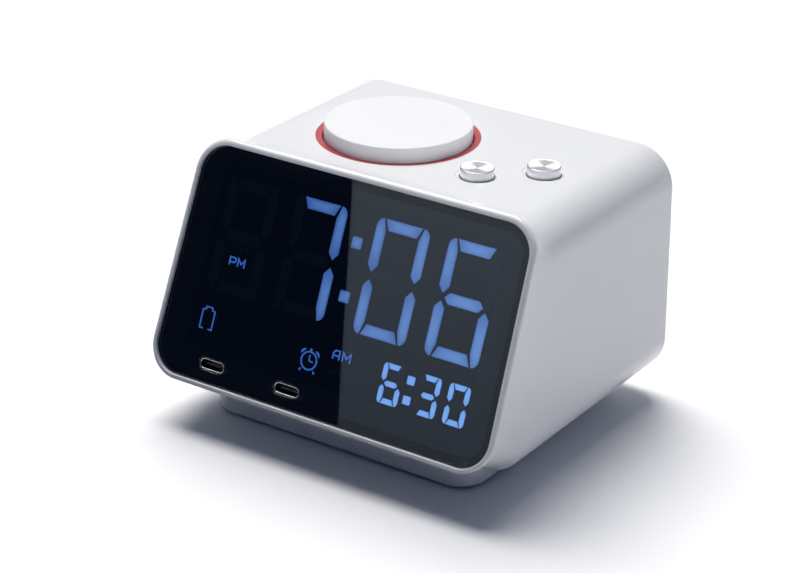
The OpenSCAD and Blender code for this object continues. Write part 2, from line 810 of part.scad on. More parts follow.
module rear_key(i) {
    color("gainsboro") translate([rear_key_x[i], 0, rear_key_z]) rotate([-90, 0, 0]) {
        translate([0, 0, rear_flange])
            cylinder(r = rear_key_r, h = cover_back + rear_key_proud - rear_flange, $fn = 64);
        translate([0, 0, rear_flange])
            cylinder(r = rear_key_r + 1.2, h = rear_flange_thick, $fn = 64);
        translate([0, 0, rear_switch_face - plunger_dip])
            cylinder(r = plunger_r, h = rear_flange - rear_switch_face + plunger_dip + 0.5, $fn = 32);
    }
}

module rear_key_1() rear_key(0);

module rear_key_2() rear_key(1);

module rear_key_3() rear_key(2);

module rear_key_4() rear_key(3);

module rear_board() {
    color("darkgreen") translate([-34, rear_switch_face - switch_high - board_thick, rear_key_z - 5])
        cube([68, board_thick, 9.5]);
}

module rear_switches() {
    color("dimgray") for (x = rear_key_x)
        translate([x, rear_switch_face - switch_high, rear_key_z]) rotate([-90, 0, 0]) push_switch();
}

module power_inlet() {
    color("black") translate([inlet_x, 0, inlet_z]) rotate([-90, 0, 0]) difference() {
        union() {
            translate([-4.5, -5, cover_front - 11]) cube([9, 10, 10.9]);
            translate([0, 0, cover_front - 1]) cylinder(r = 4, h = cover_thick + 0.8, $fn = 48);
        }
        translate([0, 0, cover_front - inlet_deep]) cylinder(r = 2.8, h = inlet_deep + 4, $fn = 48);
    }
}

module inlet_pin() {
    color("silver") translate([inlet_x, cover_front - inlet_deep, inlet_z]) rotate([-90, 0, 0])
        cylinder(r = 1, h = inlet_deep + 0.6, $fn = 32);
}

module speaker_part(z0, z1, r0, r1, hole) {
    translate([speaker_x, cover_front, speaker_z]) rotate([90, 0, 0]) difference() {
        translate([0, 0, z0]) cylinder(r1 = r0, r2 = r1, h = z1 - z0, $fn = 96);
        if (hole > 0) translate([0, 0, z0 - 1]) cylinder(r = hole, h = z1 - z0 + 2, $fn = 96);
    }
}

module speaker_basket() {
    color("dimgray") {
        speaker_part(0.05, 1.2, speaker_r, speaker_r, speaker_r - 2.6);
        difference() {
            speaker_part(1.2, 9, speaker_r - 1.4, 10, 0);
            speaker_part(1.1, 7.9, speaker_r - 2.6, 8.8, 0);
            speaker_part(7, 10, 6.6, 6.6, 0);
        }
    }
}

module speaker_cone() {
    color("black") difference() {
        speaker_part(1.6, 6.6, speaker_r - 3.4, 5, 0);
        speaker_part(1.5, 6, speaker_r - 4, 4.4, 0);
    }
}

module speaker_magnet() {
    color("gray") speaker_part(9, 15, 11, 11, 0);
}

// Places round the speaker, with local z pointing into the clock
module speaker_screw_places() {
    for (a = speaker_screw_at) translate([
            speaker_x + (speaker_r + 1.4) * cos(a), cover_front, speaker_z + (speaker_r + 1.4) * sin(a)])
        rotate([90, 0, 0]) children();
}

module speaker_screws() {
    color("silver") speaker_screw_places() translate([0, 0, 1.25]) screw(2.7, 2.2, 1.2);
}

// ---------- backup cell ----------

module backup_cell() {
    color("silver") translate([cell_x, cell_y, base_low + 1.8]) cylinder(r = cell_r, h = 3.2, $fn = 96);
}

module cell_contacts() {
    low = base_low + 5;
    color("goldenrod") {
        translate([cell_x - 1.5, cell_y - 8, low + 0.05]) cube([3, 16, 0.3]);
        translate([cell_x - 1.5, cell_y - 1, low + 0.35]) cube([3, 2, main_board_z - low - 0.4]);
        translate([cell_x - 7.5, cell_y - 1, low + 0.05]) cube([4.5, 2, 0.3]);
        translate([cell_x - 7.5, cell_y - 1, low + 0.35]) cube([1, 2, main_board_z - low - 0.4]);
    }
}

module battery_door() {
    color("white") translate([cell_x, cell_y, 0]) difference() {
        translate([0, 0, base_low + 0.1]) cylinder(r = cell_r + 2.0, h = 1.35, $fn = 96);
        translate([-6, -0.9, -1]) cube([12, 1.8, base_low + 1.7]);
    }
}

// ---------- ribbons ----------

function in_lens_yz(v, depth) = [lens_y + v * sin(tilt) + depth * cos(tilt),
    lens_height + v * cos(tilt) - depth * sin(tilt)];

// Flat ribbon from the back of the display board down to the main board
module display_ribbon() {
    back = frame_back + board_thick + 0.02;
    a = in_lens_yz(-14, back);
    b = in_lens_yz(-22, back);
    d = [-11.4, main_board_z + board_thick];
    c = d + [0, 8];
    color("ivory") translate([4, 0, 0]) rotate([90, 0, -90]) linear_extrude(10)
        mirror([1, 0])
            polygon([a, b, c, d, d + [0.5, 0], c + [0.5, 0.4], b + [0.2, 0.45], a + [0.37, 0.15]]);
}

// Upright ribbon between the main board and the key board
module key_ribbon() {
    from = main_board_z + board_thick;
    color("ivory") translate([-40, 32, from]) cube([8, 0.4, key_board_top - board_thick - from]);
}

front_bezel();
housing_shell();
rear_cover();
base_plinth();
ballast_plate();
rubber_feet();
base_screws();
rear_screws();
front_lens();
lens_tape();
lcd_frame();
lcd_glass();
lcd_backlight();
time_segments();
alarm_segments();
display_icons();
display_board();
display_screws();
main_board();
control_chip();
board_parts();
main_screws();
key_board();
key_screws();
key_switches();
usb_board();
usb_shell_left();
usb_shell_right();
usb_tongues();
usb_screws();
snooze_ring();
snooze_button();
snooze_guide();
snooze_spring();
left_key_cap();
left_key_stem();
right_key_cap();
right_key_stem();
rear_key_1();
rear_key_2();
rear_key_3();
rear_key_4();
rear_board();
rear_switches();
power_inlet();
inlet_pin();
speaker_basket();
speaker_cone();
speaker_magnet();
speaker_screws();
backup_cell();
cell_contacts();
battery_door();
display_ribbon();
key_ribbon();
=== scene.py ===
"""Looks of the alarm clock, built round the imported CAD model.

Sizes are in millimetres, and MM turns them into metres.
"""

import json
import math

import bmesh
import bpy
from mathutils import Matrix, Vector


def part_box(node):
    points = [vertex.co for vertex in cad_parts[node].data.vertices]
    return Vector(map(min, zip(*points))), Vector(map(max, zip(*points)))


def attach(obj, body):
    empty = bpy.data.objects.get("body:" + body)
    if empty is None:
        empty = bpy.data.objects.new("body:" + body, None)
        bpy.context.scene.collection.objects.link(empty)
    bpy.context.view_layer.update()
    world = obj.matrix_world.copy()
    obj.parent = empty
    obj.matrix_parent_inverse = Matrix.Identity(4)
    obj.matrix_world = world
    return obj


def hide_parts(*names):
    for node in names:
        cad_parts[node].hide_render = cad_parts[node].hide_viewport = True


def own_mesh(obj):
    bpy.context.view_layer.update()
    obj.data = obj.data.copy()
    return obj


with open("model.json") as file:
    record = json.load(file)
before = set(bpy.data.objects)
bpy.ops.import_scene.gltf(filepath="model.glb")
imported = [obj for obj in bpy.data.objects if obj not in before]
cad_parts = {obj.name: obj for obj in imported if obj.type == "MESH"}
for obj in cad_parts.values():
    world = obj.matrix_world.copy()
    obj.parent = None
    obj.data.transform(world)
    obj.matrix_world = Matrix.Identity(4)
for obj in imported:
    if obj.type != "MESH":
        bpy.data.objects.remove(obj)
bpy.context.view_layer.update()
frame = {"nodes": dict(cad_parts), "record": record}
MM = 0.001


def box_mm(node):
    low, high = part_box(node)
    return Vector(low) / MM, Vector(high) / MM


def middle(node):
    low, high = box_mm(node)
    return (low + high) / 2


# ---------- driving sizes ----------

TILT = math.radians(22.5)
LENS_THICK = 2.0
LENS_HALF = 58.0
LENS_TAPER = 0.029
LENS_CORNER = 9.0
LENS_GAP = 0.1
LIP = 1.8
LIP_PROUD = 0.7
LIP_BACK = 0.8
# Length over which the skin runs from the lip's outline into the body's, and what is added to it underneath
FLARE = 12.5
UNDERCUT = 11
SEAT_DEPTH = 2.3
SIGHT_INSET = 2.8
BODY_HALF_LOW = 60.3
BODY_HALF_HIGH = 58.7
BODY_CORNER = 12.2
WALL = 2.2
REAR_REBATE = 1.2
REAR_EDGE = 0.6
BOSS_R = 2.8
PILOT_R = 1.05
SLIP = 0.35
KEY_HOLE_R = 5.35
DISH_R = 6.75
CAP_THICK = 1.2
FLANGE_THICK = 1.2
RING_FLANGE = 2.6
RING_WIDTH = 1.95
SWITCH_HIGH = 3.5
PLUNGER_R = 1.3
ARC_STEPS = 20
# How far a cutter runs past the faces it cuts
PAST = 1

lens_low, lens_high = box_mm("front_lens")
LENS_RISE = (lens_high.z - lens_low.z - LENS_THICK * math.sin(TILT)) / (2 * math.cos(TILT))
LENS_Y = lens_low.y + LENS_RISE * math.sin(TILT)
LENS_Z = lens_high.z - LENS_RISE * math.cos(TILT)
shell_low, shell_high = box_mm("housing_shell")
BODY_LOW, BODY_TOP, BACK_Y = shell_low.z, shell_high.z, shell_high.y
cover_low, cover_high = box_mm("rear_cover")
COVER_FRONT, COVER_BACK = cover_low.y, cover_high.y
plinth_low, plinth_high = box_mm("base_plinth")
SEAM_DEPTH = (LIP_BACK + FLARE) * math.cos(TILT)

# Sockets
PORT_W, PORT_H = 9.1, 3.7
SHELL_W, SHELL_H, SHELL_WALL = 8.94, 3.26, 0.3
SHELL_LONG = 9.6
SHELL_START = 0.35
socket = middle("usb_shell_left")
PORT_V = (socket.z - LENS_Z + (SHELL_START + SHELL_LONG / 2) * math.sin(TILT)) / math.cos(TILT)

# Display: depths of the lit parts behind the lens face, then the layout in the lens plane
SEGMENT_FRONT = 2.6
SEGMENT_BACK = 2.75
BIG = {"top": 26.5, "w": 18.05, "h": 34.1, "t": 3.3}
SMALL = {"top": -13, "w": 7, "h": 11.8, "t": 1.6}
BIG_LEFT = (-47.15, -22.65, 5.8, 30.3)
SMALL_LEFT = (18.9, 31.5, 41.2)
BIG_LIT = ("0000000", "1110000", "1111110", "1011111")
SMALL_LIT = ("1011111", "1111001", "1111110")
BIG_COLON = {"left": -1.1, "size": 3.45, "r": 0.5, "levels": (15.7, -0.3)}
SMALL_COLON = {"left": 27.4, "size": 2.5, "r": 0.35, "levels": (-17.3, -23.1)}
LINE = 0.46
ALARM_X, ALARM_V = -6.15, -19.5
# Name of the point attribute that says where a segment is brightest
CORE = "core"
# How far a segment's bright core is drawn in from its outline
CORE_SHARE = 0.6


# ---------- mesh helpers ----------


def add_object(name, points, faces, origin=(0, 0, 0)):
    """A mesh object from points in millimetres, whose own origin is at the given place."""
    mesh = bpy.data.meshes.new(name)
    mesh.from_pydata([Vector(p) * MM for p in points], [], faces)
    obj = bpy.data.objects.new(name, mesh)
    obj.location = Vector(origin) * MM
    bpy.context.scene.collection.objects.link(obj)
    tidy = bmesh.new()
    tidy.from_mesh(mesh)
    bmesh.ops.recalc_face_normals(tidy, faces=tidy.faces)
    tidy.to_mesh(mesh)
    tidy.free()
    return obj


def loft_faces(count, rings, wrap):
    """Faces of a skin through rings with count points each: closed by caps, or wrapped into a loop."""
    faces = []
    for j in range(rings if wrap else rings - 1):
        nxt = (j + 1) % rings
        for k in range(count):
            side = (k + 1) % count
            faces.append((j * count + k, nxt * count + k, nxt * count + side, j * count + side))
    if not wrap:
        faces.append(tuple(range(count)))
        faces.append(tuple(range((rings - 1) * count, rings * count)))
    return faces


def loft(name, rings, wrap=False, origin=(0, 0, 0)):
    points = [p for ring in rings for p in ring]
    return add_object(name, points, loft_faces(len(rings[0]), len(rings), wrap), origin)


def angles(degrees, steps):
    """Angles in radians from 0 to a number of degrees, in equal steps."""
    return [math.radians(degrees * i / steps) for i in range(steps + 1)]


def round_profile(corners, closed):
    """Turns corners (r, z, radius) into points (r, z), with an arc at each corner that has a radius."""
    steps = 6
    points = []
    count = len(corners)
    for i, (r, z, radius) in enumerate(corners):
        here = Vector((r, z))
        if radius <= 0 or (not closed and i in (0, count - 1)):
            points.append(here)
            continue
        before = Vector(corners[i - 1][:2]) - here
        after = Vector(corners[(i + 1) % count][:2]) - here
        half = before.angle(after) / 2
        reach = min(radius / math.tan(half), before.length * 0.49, after.length * 0.49)
        start, end = here + before.normalized() * reach, here + after.normalized() * reach
        centre = here + (before.normalized() + after.normalized()).normalized() * (reach / math.cos(half))
        spread = (start - centre).angle_signed(end - centre)
        for step in range(steps + 1):
            turn = Matrix.Rotation(-spread * step / steps, 2)
            points.append(centre + turn @ (start - centre))
    return points


def lathe(name, corners, origin, closed=False, segments=160, axis="Z"):
    """Turned piece from a profile of corners (r, z, radius). Its axis goes through its origin."""
    profile = round_profile(corners, closed)
    points, faces = [], []
    loops = []
    for r, z in profile:
        if r < 1e-6:
            loops.append([len(points)])
            points.append((0, 0, z))
            continue
        loops.append(list(range(len(points), len(points) + segments)))
        for k in range(segments):
            a = 2 * math.pi * k / segments
            points.append((r * math.cos(a), r * math.sin(a), z))
    following = loops[1:] + loops[:1] if closed else loops[1:]
    for first, second in zip(loops, following):
        if len(first) == 1 and len(second) == 1:
            continue
        for k in range(segments):
            side = (k + 1) % segments
            if len(first) == 1:
                faces.append((first[0], second[k], second[side]))
            elif len(second) == 1:
                faces.append((first[k], second[0], first[side]))
            else:
                faces.append((first[k], second[k], second[side], first[side]))
    if axis == "Y":
        points = [(x, z, -y) for x, y, z in points]
    return add_object(name, points, faces, origin)


def join(name, objects):
    """One object from several, whose own origin is the row's."""
    points, faces = [], []
    for obj in objects:
        base = len(points)
        points += [(obj.location + v.co) / MM for v in obj.data.vertices]
        faces += [tuple(base + i for i in f.vertices) for f in obj.data.polygons]
        bpy.data.objects.remove(obj)
    return add_object(name, points, faces)


def carve(obj, other, operation="DIFFERENCE"):
    """Cuts the other object out of obj, or welds it on, and removes it."""
    tool = obj.modifiers.new("carve", "BOOLEAN")
    tool.operation = operation
    tool.solver = "MANIFOLD"
    tool.object = other
    bpy.context.view_layer.update()
    shaped = obj.evaluated_get(bpy.context.evaluated_depsgraph_get())
    obj.data = bpy.data.meshes.new_from_object(shaped)
    obj.modifiers.clear()
    bpy.data.objects.remove(other)


def rod(x, y, z0, z1, r, segments=48):
    corners = [(0, z0, 0), (r, z0, 0), (r, z1, 0), (0, z1, 0)]
    return lathe("rod", corners, (x, y, 0), segments=segments)


def rod_y(x, z, y0, y1, r, segments=48):
    corners = [(0, y0, 0), (r, y0, 0), (r, y1, 0), (0, y1, 0)]
    return lathe("rod", corners, (x, 0, z), segments=segments, axis="Y")


def dress(obj, look, body="housing", nodes=(), sharp=32, weigh=True):
    """Gives a piece its material, smooth shading with crisp edges and its body, and hides the CAD parts it
    stands for.
    """
    obj.data.materials.clear()
    obj.data.materials.append(look)
    obj.data.shade_smooth()
    obj.data.set_sharp_from_angle(angle=math.radians(sharp))
    if weigh:
        weighted = obj.modifiers.new("weighted_normals", "WEIGHTED_NORMAL")
        weighted.keep_sharp = True
    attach(obj, body)
    if nodes:
        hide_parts(*nodes)
    return obj


# ---------- outlines ----------


def lerp(a, b, t):
    return a + (b - a) * t


def arc(cx, cy, r, start, steps=ARC_STEPS):
    turns = [math.radians(start + 90 * i / steps) for i in range(steps + 1)]
    return [(cx + r * math.cos(a), cy + r * math.sin(a)) for a in turns]


def outline(low, high, y0, y1, r):
    """Outline with straight tapering sides and four round corners, with points along its straight parts."""
    shares = (0.03, 0.25, 0.5, 0.75, 0.97)
    top = lerp(low, high, (y1 - r - y0) / (y1 - y0)) - r
    bottom = lerp(low, high, r / (y1 - y0)) - r
    corners = [arc(top, y1 - r, r, 0), arc(-top, y1 - r, r, 90), arc(-bottom, y0 + r, r, 180),
               arc(bottom, y0 + r, r, 270)]
    points = []
    for i, corner in enumerate(corners):
        points += corner
        end, start = corner[-1], corners[(i + 1) % 4][0]
        points += [(lerp(end[0], start[0], s), lerp(end[1], start[1], s)) for s in shares]
    return points


def lens_outline(inset):
    low, high = LENS_HALF + LENS_TAPER * LENS_RISE, LENS_HALF - LENS_TAPER * LENS_RISE
    return outline(low - inset, high - inset, -LENS_RISE + inset, LENS_RISE - inset, LENS_CORNER - inset)


def lip_outline(inset):
    return lens_outline(inset - LIP)


def body_outline(inset):
    return outline(BODY_HALF_LOW - inset, BODY_HALF_HIGH - inset, BODY_LOW + inset, BODY_TOP - inset,
                   BODY_CORNER - inset)


def on_lens(x, v, depth):
    """The point at x across and v up the lens, at a depth behind its face."""
    return (x, LENS_Y + v * math.sin(TILT) + depth * math.cos(TILT),
            LENS_Z + v * math.cos(TILT) - depth * math.sin(TILT))


def on_lens_ring(points, depth):
    return [on_lens(x, v, depth) for x, v in points]


def lens_ring(inset, depth):
    return on_lens_ring(lens_outline(inset), depth)


def leaned(x, z, back):
    """A point of the front view, set back along Y from the leaning plane of the lens."""
    return (x, LENS_Y + (z - LENS_Z) * math.tan(TILT) + back, z)


def lip_ring(inset, back):
    return [leaned(x, LENS_Z + v * math.cos(TILT), back) for x, v in lip_outline(inset)]


def ease(start, end, value):
    """Smooth step from 0 at start to 1 at end."""
    share = min(1, max(0, (value - start) / (end - start)))
    return share * share * (3 - 2 * share)


def skin_share(v, u):
    """How far the skin has gone from the lip's outline to the body's: fast at the top, slowly underneath."""
    return lerp(u ** 1.5, 1 - (1 - u) ** 2.2, ease(-20, 20, v))


def set_back(v):
    """How much further back the skin reaches the body's outline underneath, where it slopes up to the lip."""
    return UNDERCUT * ease(22, 36, -v)


def skin_ring(u):
    ring = []
    for (lx, lv), (bx, bz) in zip(lip_outline(0), body_outline(0)):
        t = skin_share(lv, u)
        ring.append(leaned(lerp(lx, bx, t), lerp(LENS_Z + lv * math.cos(TILT), bz, t),
                           LIP_BACK + u * (FLARE + set_back(lv))))
    return ring


def upright_ring(inset, y):
    return [(x, y, z) for x, z in body_outline(inset)]


def rounded_box(x0, x1, y0, y1, r, steps=12):
    return (arc(x1 - r, y1 - r, r, 0, steps) + arc(x0 + r, y1 - r, r, 90, steps)
            + arc(x0 + r, y0 + r, r, 180, steps) + arc(x1 - r, y0 + r, r, 270, steps))


def stadium(x, v, w, h, steps=16):
    return rounded_box(x - w / 2, x + w / 2, v - h / 2, v + h / 2, h / 2 - 0.001, steps)


# ---------- materials ----------


def fill(node, **values):
    """Sets a node's inputs by name, with an underscore for each space in a name."""
    for name, value in values.items():
        node.inputs[name.replace("_", " ")].default_value = value
    return node


class Look:
    """A node-based material with one Principled shader and helpers that wire procedural detail into it."""

    def __init__(self, name, colour, rough, metallic=0.0):
        self.material = bpy.data.materials.new(name)
        self.material.use_nodes = True
        self.nodes = self.material.node_tree.nodes
        self.links = self.material.node_tree.links
        self.shader = self.nodes["Principled BSDF"]
        self.colour = colour
        fill(self.shader, Base_Color=(*colour, 1), Roughness=rough, Metallic=metallic)
        self.place = self.nodes.new("ShaderNodeTexCoord").outputs["Object"]

    def noise(self, size_mm, detail=3.0):
        texture = fill(self.nodes.new("ShaderNodeTexNoise"), Scale=1000 / size_mm, Detail=detail)
        self.links.new(self.place, texture.inputs["Vector"])
        return texture.outputs["Fac"]

    def remap(self, value, low, high, from_low=0.3, from_high=0.7):
        node = fill(self.nodes.new("ShaderNodeMapRange"), From_Min=from_low, From_Max=from_high,
                    To_Min=low, To_Max=high)
        self.links.new(value, node.inputs["Value"])
        return node.outputs["Result"]

    def mix(self, value, first, second, socket="Base Color"):
        node = self.nodes.new("ShaderNodeMix")
        node.data_type = "RGBA"
        node.inputs["A"].default_value = (*first, 1)
        node.inputs["B"].default_value = (*second, 1)
        self.links.new(value, node.inputs["Factor"])
        self.links.new(node.outputs["Result"], self.shader.inputs[socket])
        return node.outputs["Result"]

    def add(self, first, second):
        node = self.nodes.new("ShaderNodeMath")
        self.links.new(first, node.inputs[0])
        self.links.new(second, node.inputs[1])
        return node.outputs["Value"]

    def vary_colour(self, size_mm, amount):
        darker = tuple(c * (1 - amount) for c in self.colour)
        lighter = tuple(min(1, c * (1 + amount)) for c in self.colour)
        self.mix(self.remap(self.noise(size_mm), 0, 1), darker, lighter)
        return self

    def vary_rough(self, size_mm, low, high):
        self.links.new(self.remap(self.noise(size_mm, 4), low, high), self.shader.inputs["Roughness"])
        return self

    def bump(self, height, depth_mm):
        node = fill(self.nodes.new("ShaderNodeBump"), Strength=1.0, Distance=depth_mm * MM)
        self.links.new(height, node.inputs["Height"])
        self.links.new(node.outputs["Normal"], self.shader.inputs["Normal"])
        return self

    def grain(self, size_mm, depth_mm):
        return self.bump(self.noise(size_mm, 2.0), depth_mm)

    def set(self, **values):
        fill(self.shader, **values)
        return self


def moulded(name, colour, rough, grain_mm, depth_mm):
    """Moulded plastic: a faint uneven tone, a slightly uneven gloss and a fine texture from the mould."""
    look = Look(name, colour, rough)
    look.vary_colour(35, 0.008)
    look.vary_rough(9, rough * 0.88, rough * 1.12)
    look.grain(grain_mm, depth_mm)
    return look.material


def wired_metal(name, colour, rough, vary=0.08):
    """Plain metal with a faint uneven tone, gloss and grain."""
    look = Look(name, colour, rough, 1.0)
    look.vary_colour(1.5, vary)
    look.vary_rough(0.9, rough * 0.75, rough * 1.3)
    look.grain(0.25, 0.004)
    return look.material


def spun_metal():
    """Turned metal: fine rings about the cap's axis, and highlights that fan out from it."""
    look = Look("spun_metal", (0.72, 0.73, 0.75), 0.34, 1.0)
    rings = fill(look.nodes.new("ShaderNodeTexWave"), Scale=900, Distortion=1.5, Detail=3)
    rings.wave_type = "RINGS"
    rings.rings_direction = "Z"
    look.links.new(look.place, rings.inputs["Vector"])
    look.bump(rings.outputs["Fac"], 0.003)
    look.mix(look.remap(rings.outputs["Fac"], 0, 1, 0, 1), (0.68, 0.69, 0.71), (0.78, 0.79, 0.81))
    look.set(Anisotropic=0.75)
    tangent = look.nodes.new("ShaderNodeTangent")
    tangent.direction_type = "RADIAL"
    tangent.axis = "Z"
    look.links.new(tangent.outputs["Tangent"], look.shader.inputs["Tangent"])
    return look.material


def smoked_glass():
    look = Look("smoked_lens", (0.30, 0.33, 0.42), 0.02)
    look.set(Transmission_Weight=1.0, IOR=1.49)
    look.vary_colour(60, 0.03)
    look.vary_rough(18, 0.005, 0.015)
    return look.material


def dark_panel():
    look = Look("display_panel", (0.0035, 0.0045, 0.011), 0.6)
    look.mix(look.remap(look.noise(45, 2), 0, 1), (0.0025, 0.003, 0.0075), (0.0045, 0.006, 0.0145))
    look.set(Specular_IOR_Level=0.05)
    return look.material


def glow(name, dim, bright, strength):
    """A lit segment: brightest along its middle, faintly uneven, and a little brighter to the right."""
    look = Look(name, (0.01, 0.01, 0.015), 0.5)
    core = look.nodes.new("ShaderNodeAttribute")
    core.attribute_name = CORE
    across = look.nodes.new("ShaderNodeSeparateXYZ")
    look.links.new(look.place, across.inputs["Vector"])
    middle_share = look.remap(core.outputs["Fac"], 0, 0.45, 0, 1)
    total = look.add(middle_share, look.remap(look.noise(12, 1), 0, 0.15))
    total = look.add(total, look.remap(across.outputs["X"], -0.08, 0.35, -0.03, 0.05))
    look.mix(total, dim, bright, "Emission Color")
    look.set(Emission_Strength=strength, Specular_IOR_Level=0.1)
    return look.material


def circuit_board():
    """Green solder mask over a faint pattern of tracks."""
    look = Look("circuit_board", (0.02, 0.16, 0.06), 0.32)
    tracks = fill(look.nodes.new("ShaderNodeTexBrick"), Scale=160, Mortar_Size=0.03,
                  Color1=(0.012, 0.11, 0.045, 1), Color2=(0.018, 0.14, 0.055, 1),
                  Mortar=(0.05, 0.26, 0.11, 1))
    look.links.new(look.place, tracks.inputs["Vector"])
    look.links.new(tracks.outputs["Color"], look.shader.inputs["Base Color"])
    look.bump(tracks.outputs["Fac"], 0.02)
    return look.material


def ribbon_film():
    """Flat cable: pale film with tinned strips that show through it."""
    look = Look("ribbon_film", (0.8, 0.78, 0.7), 0.4)
    strips = fill(look.nodes.new("ShaderNodeTexWave"), Scale=500)
    strips.bands_direction = "X"
    look.links.new(look.place, strips.inputs["Vector"])
    look.mix(look.remap(strips.outputs["Fac"], 0, 1, 0.45, 0.55), (0.45, 0.44, 0.42), (0.85, 0.83, 0.76))
    return look.material


# Colour, roughness, then the size and depth of the grain
MOULDED = {
    "gloss_white": ((0.80, 0.805, 0.815), 0.22, 0.8, 0.0012),
    "matte_white": ((0.80, 0.80, 0.805), 0.42, 0.35, 0.003),
    "white_plastic": ((0.84, 0.84, 0.85), 0.35, 0.6, 0.003),
    "key_plastic": ((0.62, 0.64, 0.67), 0.38, 0.4, 0.004),
    "red_trim": ((0.46, 0.035, 0.045), 0.33, 0.4, 0.002),
    "light_guide": ((0.80, 0.81, 0.85), 0.55, 1.2, 0.01),
    "black_plastic": ((0.018, 0.018, 0.02), 0.42, 0.35, 0.008),
    "tape": ((0.008, 0.008, 0.008), 0.85, 0.3, 0.02),
    "foot_rubber": ((0.07, 0.07, 0.075), 0.75, 0.25, 0.02),
    "cone_paper": ((0.025, 0.025, 0.026), 0.9, 0.3, 0.04),
}
# Colour and roughness, with the colour's variation where it isn't the usual one
METALS = {
    "screw_steel": ((0.55, 0.56, 0.58), 0.32),
    "bright_metal": ((0.78, 0.78, 0.80), 0.14, 0.03),
    "spring_steel": ((0.50, 0.50, 0.52), 0.25),
    "contact_brass": ((0.72, 0.52, 0.22), 0.28),
    "ballast_iron": ((0.20, 0.19, 0.19), 0.55, 0.2),
    "magnet_iron": ((0.22, 0.22, 0.23), 0.5, 0.15),
}
# Colour at the edge and in the core, and strength
GLOWS = {
    "segment_glow": ((0.038, 0.11, 0.33), (0.19, 0.36, 0.66), 2.25),
    "small_glow": ((0.16, 0.34, 0.70), (0.26, 0.52, 0.92), 2.4),
    "icon_glow": ((0.05, 0.15, 0.46), (0.09, 0.24, 0.66), 2.3),
}
LOOKS = {
    "spun_metal": spun_metal(),
    "smoked_lens": smoked_glass(),
    "lcd_glass": dark_panel(),
    "circuit_board": circuit_board(),
    "ribbon_film": ribbon_film(),
}
for make, table in ((moulded, MOULDED), (wired_metal, METALS), (glow, GLOWS)):
    LOOKS |= {name: make(name, *values) for name, values in table.items()}


# ---------- the body moulding ----------


def bead_rings():
    """The lip's section, from its inner edge at the lens over its crest to its outer edge."""
    reach = LIP_PROUD / math.cos(TILT)
    inner = LIP + LENS_GAP
    inner_round, outer_round = 0.25, 1.1
    rings = []
    for a in angles(90, 5):
        inset = inner - LENS_GAP * 2 - inner_round * (1 - math.cos(a))
        rings.append(lip_ring(inset, -reach + inner_round * (1 - math.sin(a))))
    for a in angles(90, 12):
        rings.append(lip_ring(outer_round * (1 - math.sin(a)), -reach + (reach + 0.3) * (1 - math.cos(a))))
    return rings


def housing():
    """One seamless moulding from the lens's seat, over the lip and the body, to the rear cover's seat."""
    skin_steps, edge_steps = 26, 6
    rings = [lens_ring(-LENS_GAP, SEAT_DEPTH)]
    rings += bead_rings()
    rings += [skin_ring(i / skin_steps) for i in range(skin_steps + 1)]
    front = skin_ring(1)
    rear = upright_ring(0, BACK_Y - REAR_EDGE)
    for share in (0.02, 0.5, 0.98):
        rings.append([tuple(Vector(a).lerp(Vector(b), share)) for a, b in zip(front, rear)])
    for a in angles(90, edge_steps):
        rings.append(upright_ring(REAR_EDGE * (1 - math.cos(a)), BACK_Y - REAR_EDGE * (1 - math.sin(a))))
    rings += [upright_ring(REAR_REBATE, BACK_Y), upright_ring(REAR_REBATE, COVER_FRONT),
              upright_ring(WALL, COVER_FRONT)]
    rings.append([leaned(x, z, LIP_BACK + FLARE + set_back(v))
                  for (x, z), (_, v) in zip(body_outline(WALL), lip_outline(0))])
    rings += [lens_ring(SIGHT_INSET, SEAM_DEPTH), lens_ring(SIGHT_INSET, SEAT_DEPTH)]
    body = loft("body_moulding", rings, wrap=True)
    carve(body, join("bosses", boss_rods()), "UNION")
    carve(body, join("holes", top_cutters() + boss_pilots()))
    dress(body, LOOKS["gloss_white"], nodes=("front_bezel", "housing_shell"), sharp=28)


def screw_places(node, count):
    """Middles of the separate solids of a node of fasteners, found from the gaps in its mesh."""
    obj = frame["nodes"][node]
    work = bmesh.new()
    work.from_mesh(obj.data)
    bmesh.ops.remove_doubles(work, verts=work.verts, dist=1e-7)
    left, places = set(work.verts), []
    while left:
        stack, island = [left.pop()], []
        while stack:
            vertex = stack.pop()
            island.append(vertex.co.copy())
            for edge in vertex.link_edges:
                other = edge.other_vert(vertex)
                if other in left:
                    left.remove(other)
                    stack.append(other)
        low = Vector(min(p[i] for p in island) for i in range(3))
        high = Vector(max(p[i] for p in island) for i in range(3))
        places.append((low + high) / 2 / MM)
    work.free()
    if len(places) != count:
        raise ValueError(f"{node} has {len(places)} solids and not {count}")
    return places


def boss_rods():
    """Posts inside the body that the boards and the plinth are screwed to."""
    inner_top, inner_low = BODY_TOP - WALL, BODY_LOW + WALL
    key_top = box_mm("key_board")[1].z
    main_low = box_mm("main_board")[0].z
    rods = [rod(p.x, p.y, key_top, inner_top + 0.5, BOSS_R) for p in screw_places("key_screws", 4)]
    rods += [rod(p.x, p.y, inner_low - 0.5, main_low, BOSS_R) for p in screw_places("main_screws", 4)]
    rods += [rod(p.x, p.y, inner_low - 0.5, inner_low + 2.4, 3.4) for p in screw_places("base_screws", 4)]
    return rods


def boss_pilots():
    """Cutters for the posts' screw holes."""
    key_top = box_mm("key_board")[1].z
    main_low = box_mm("main_board")[0].z
    holes = (("key_screws", key_top - PAST, key_top + 6), ("main_screws", main_low - 3, main_low + PAST),
             ("base_screws", BODY_LOW - PAST, BODY_LOW + WALL + 3))
    return [rod(p.x, p.y, low, high, PILOT_R, 24) for node, low, high in holes for p in screw_places(node, 4)]


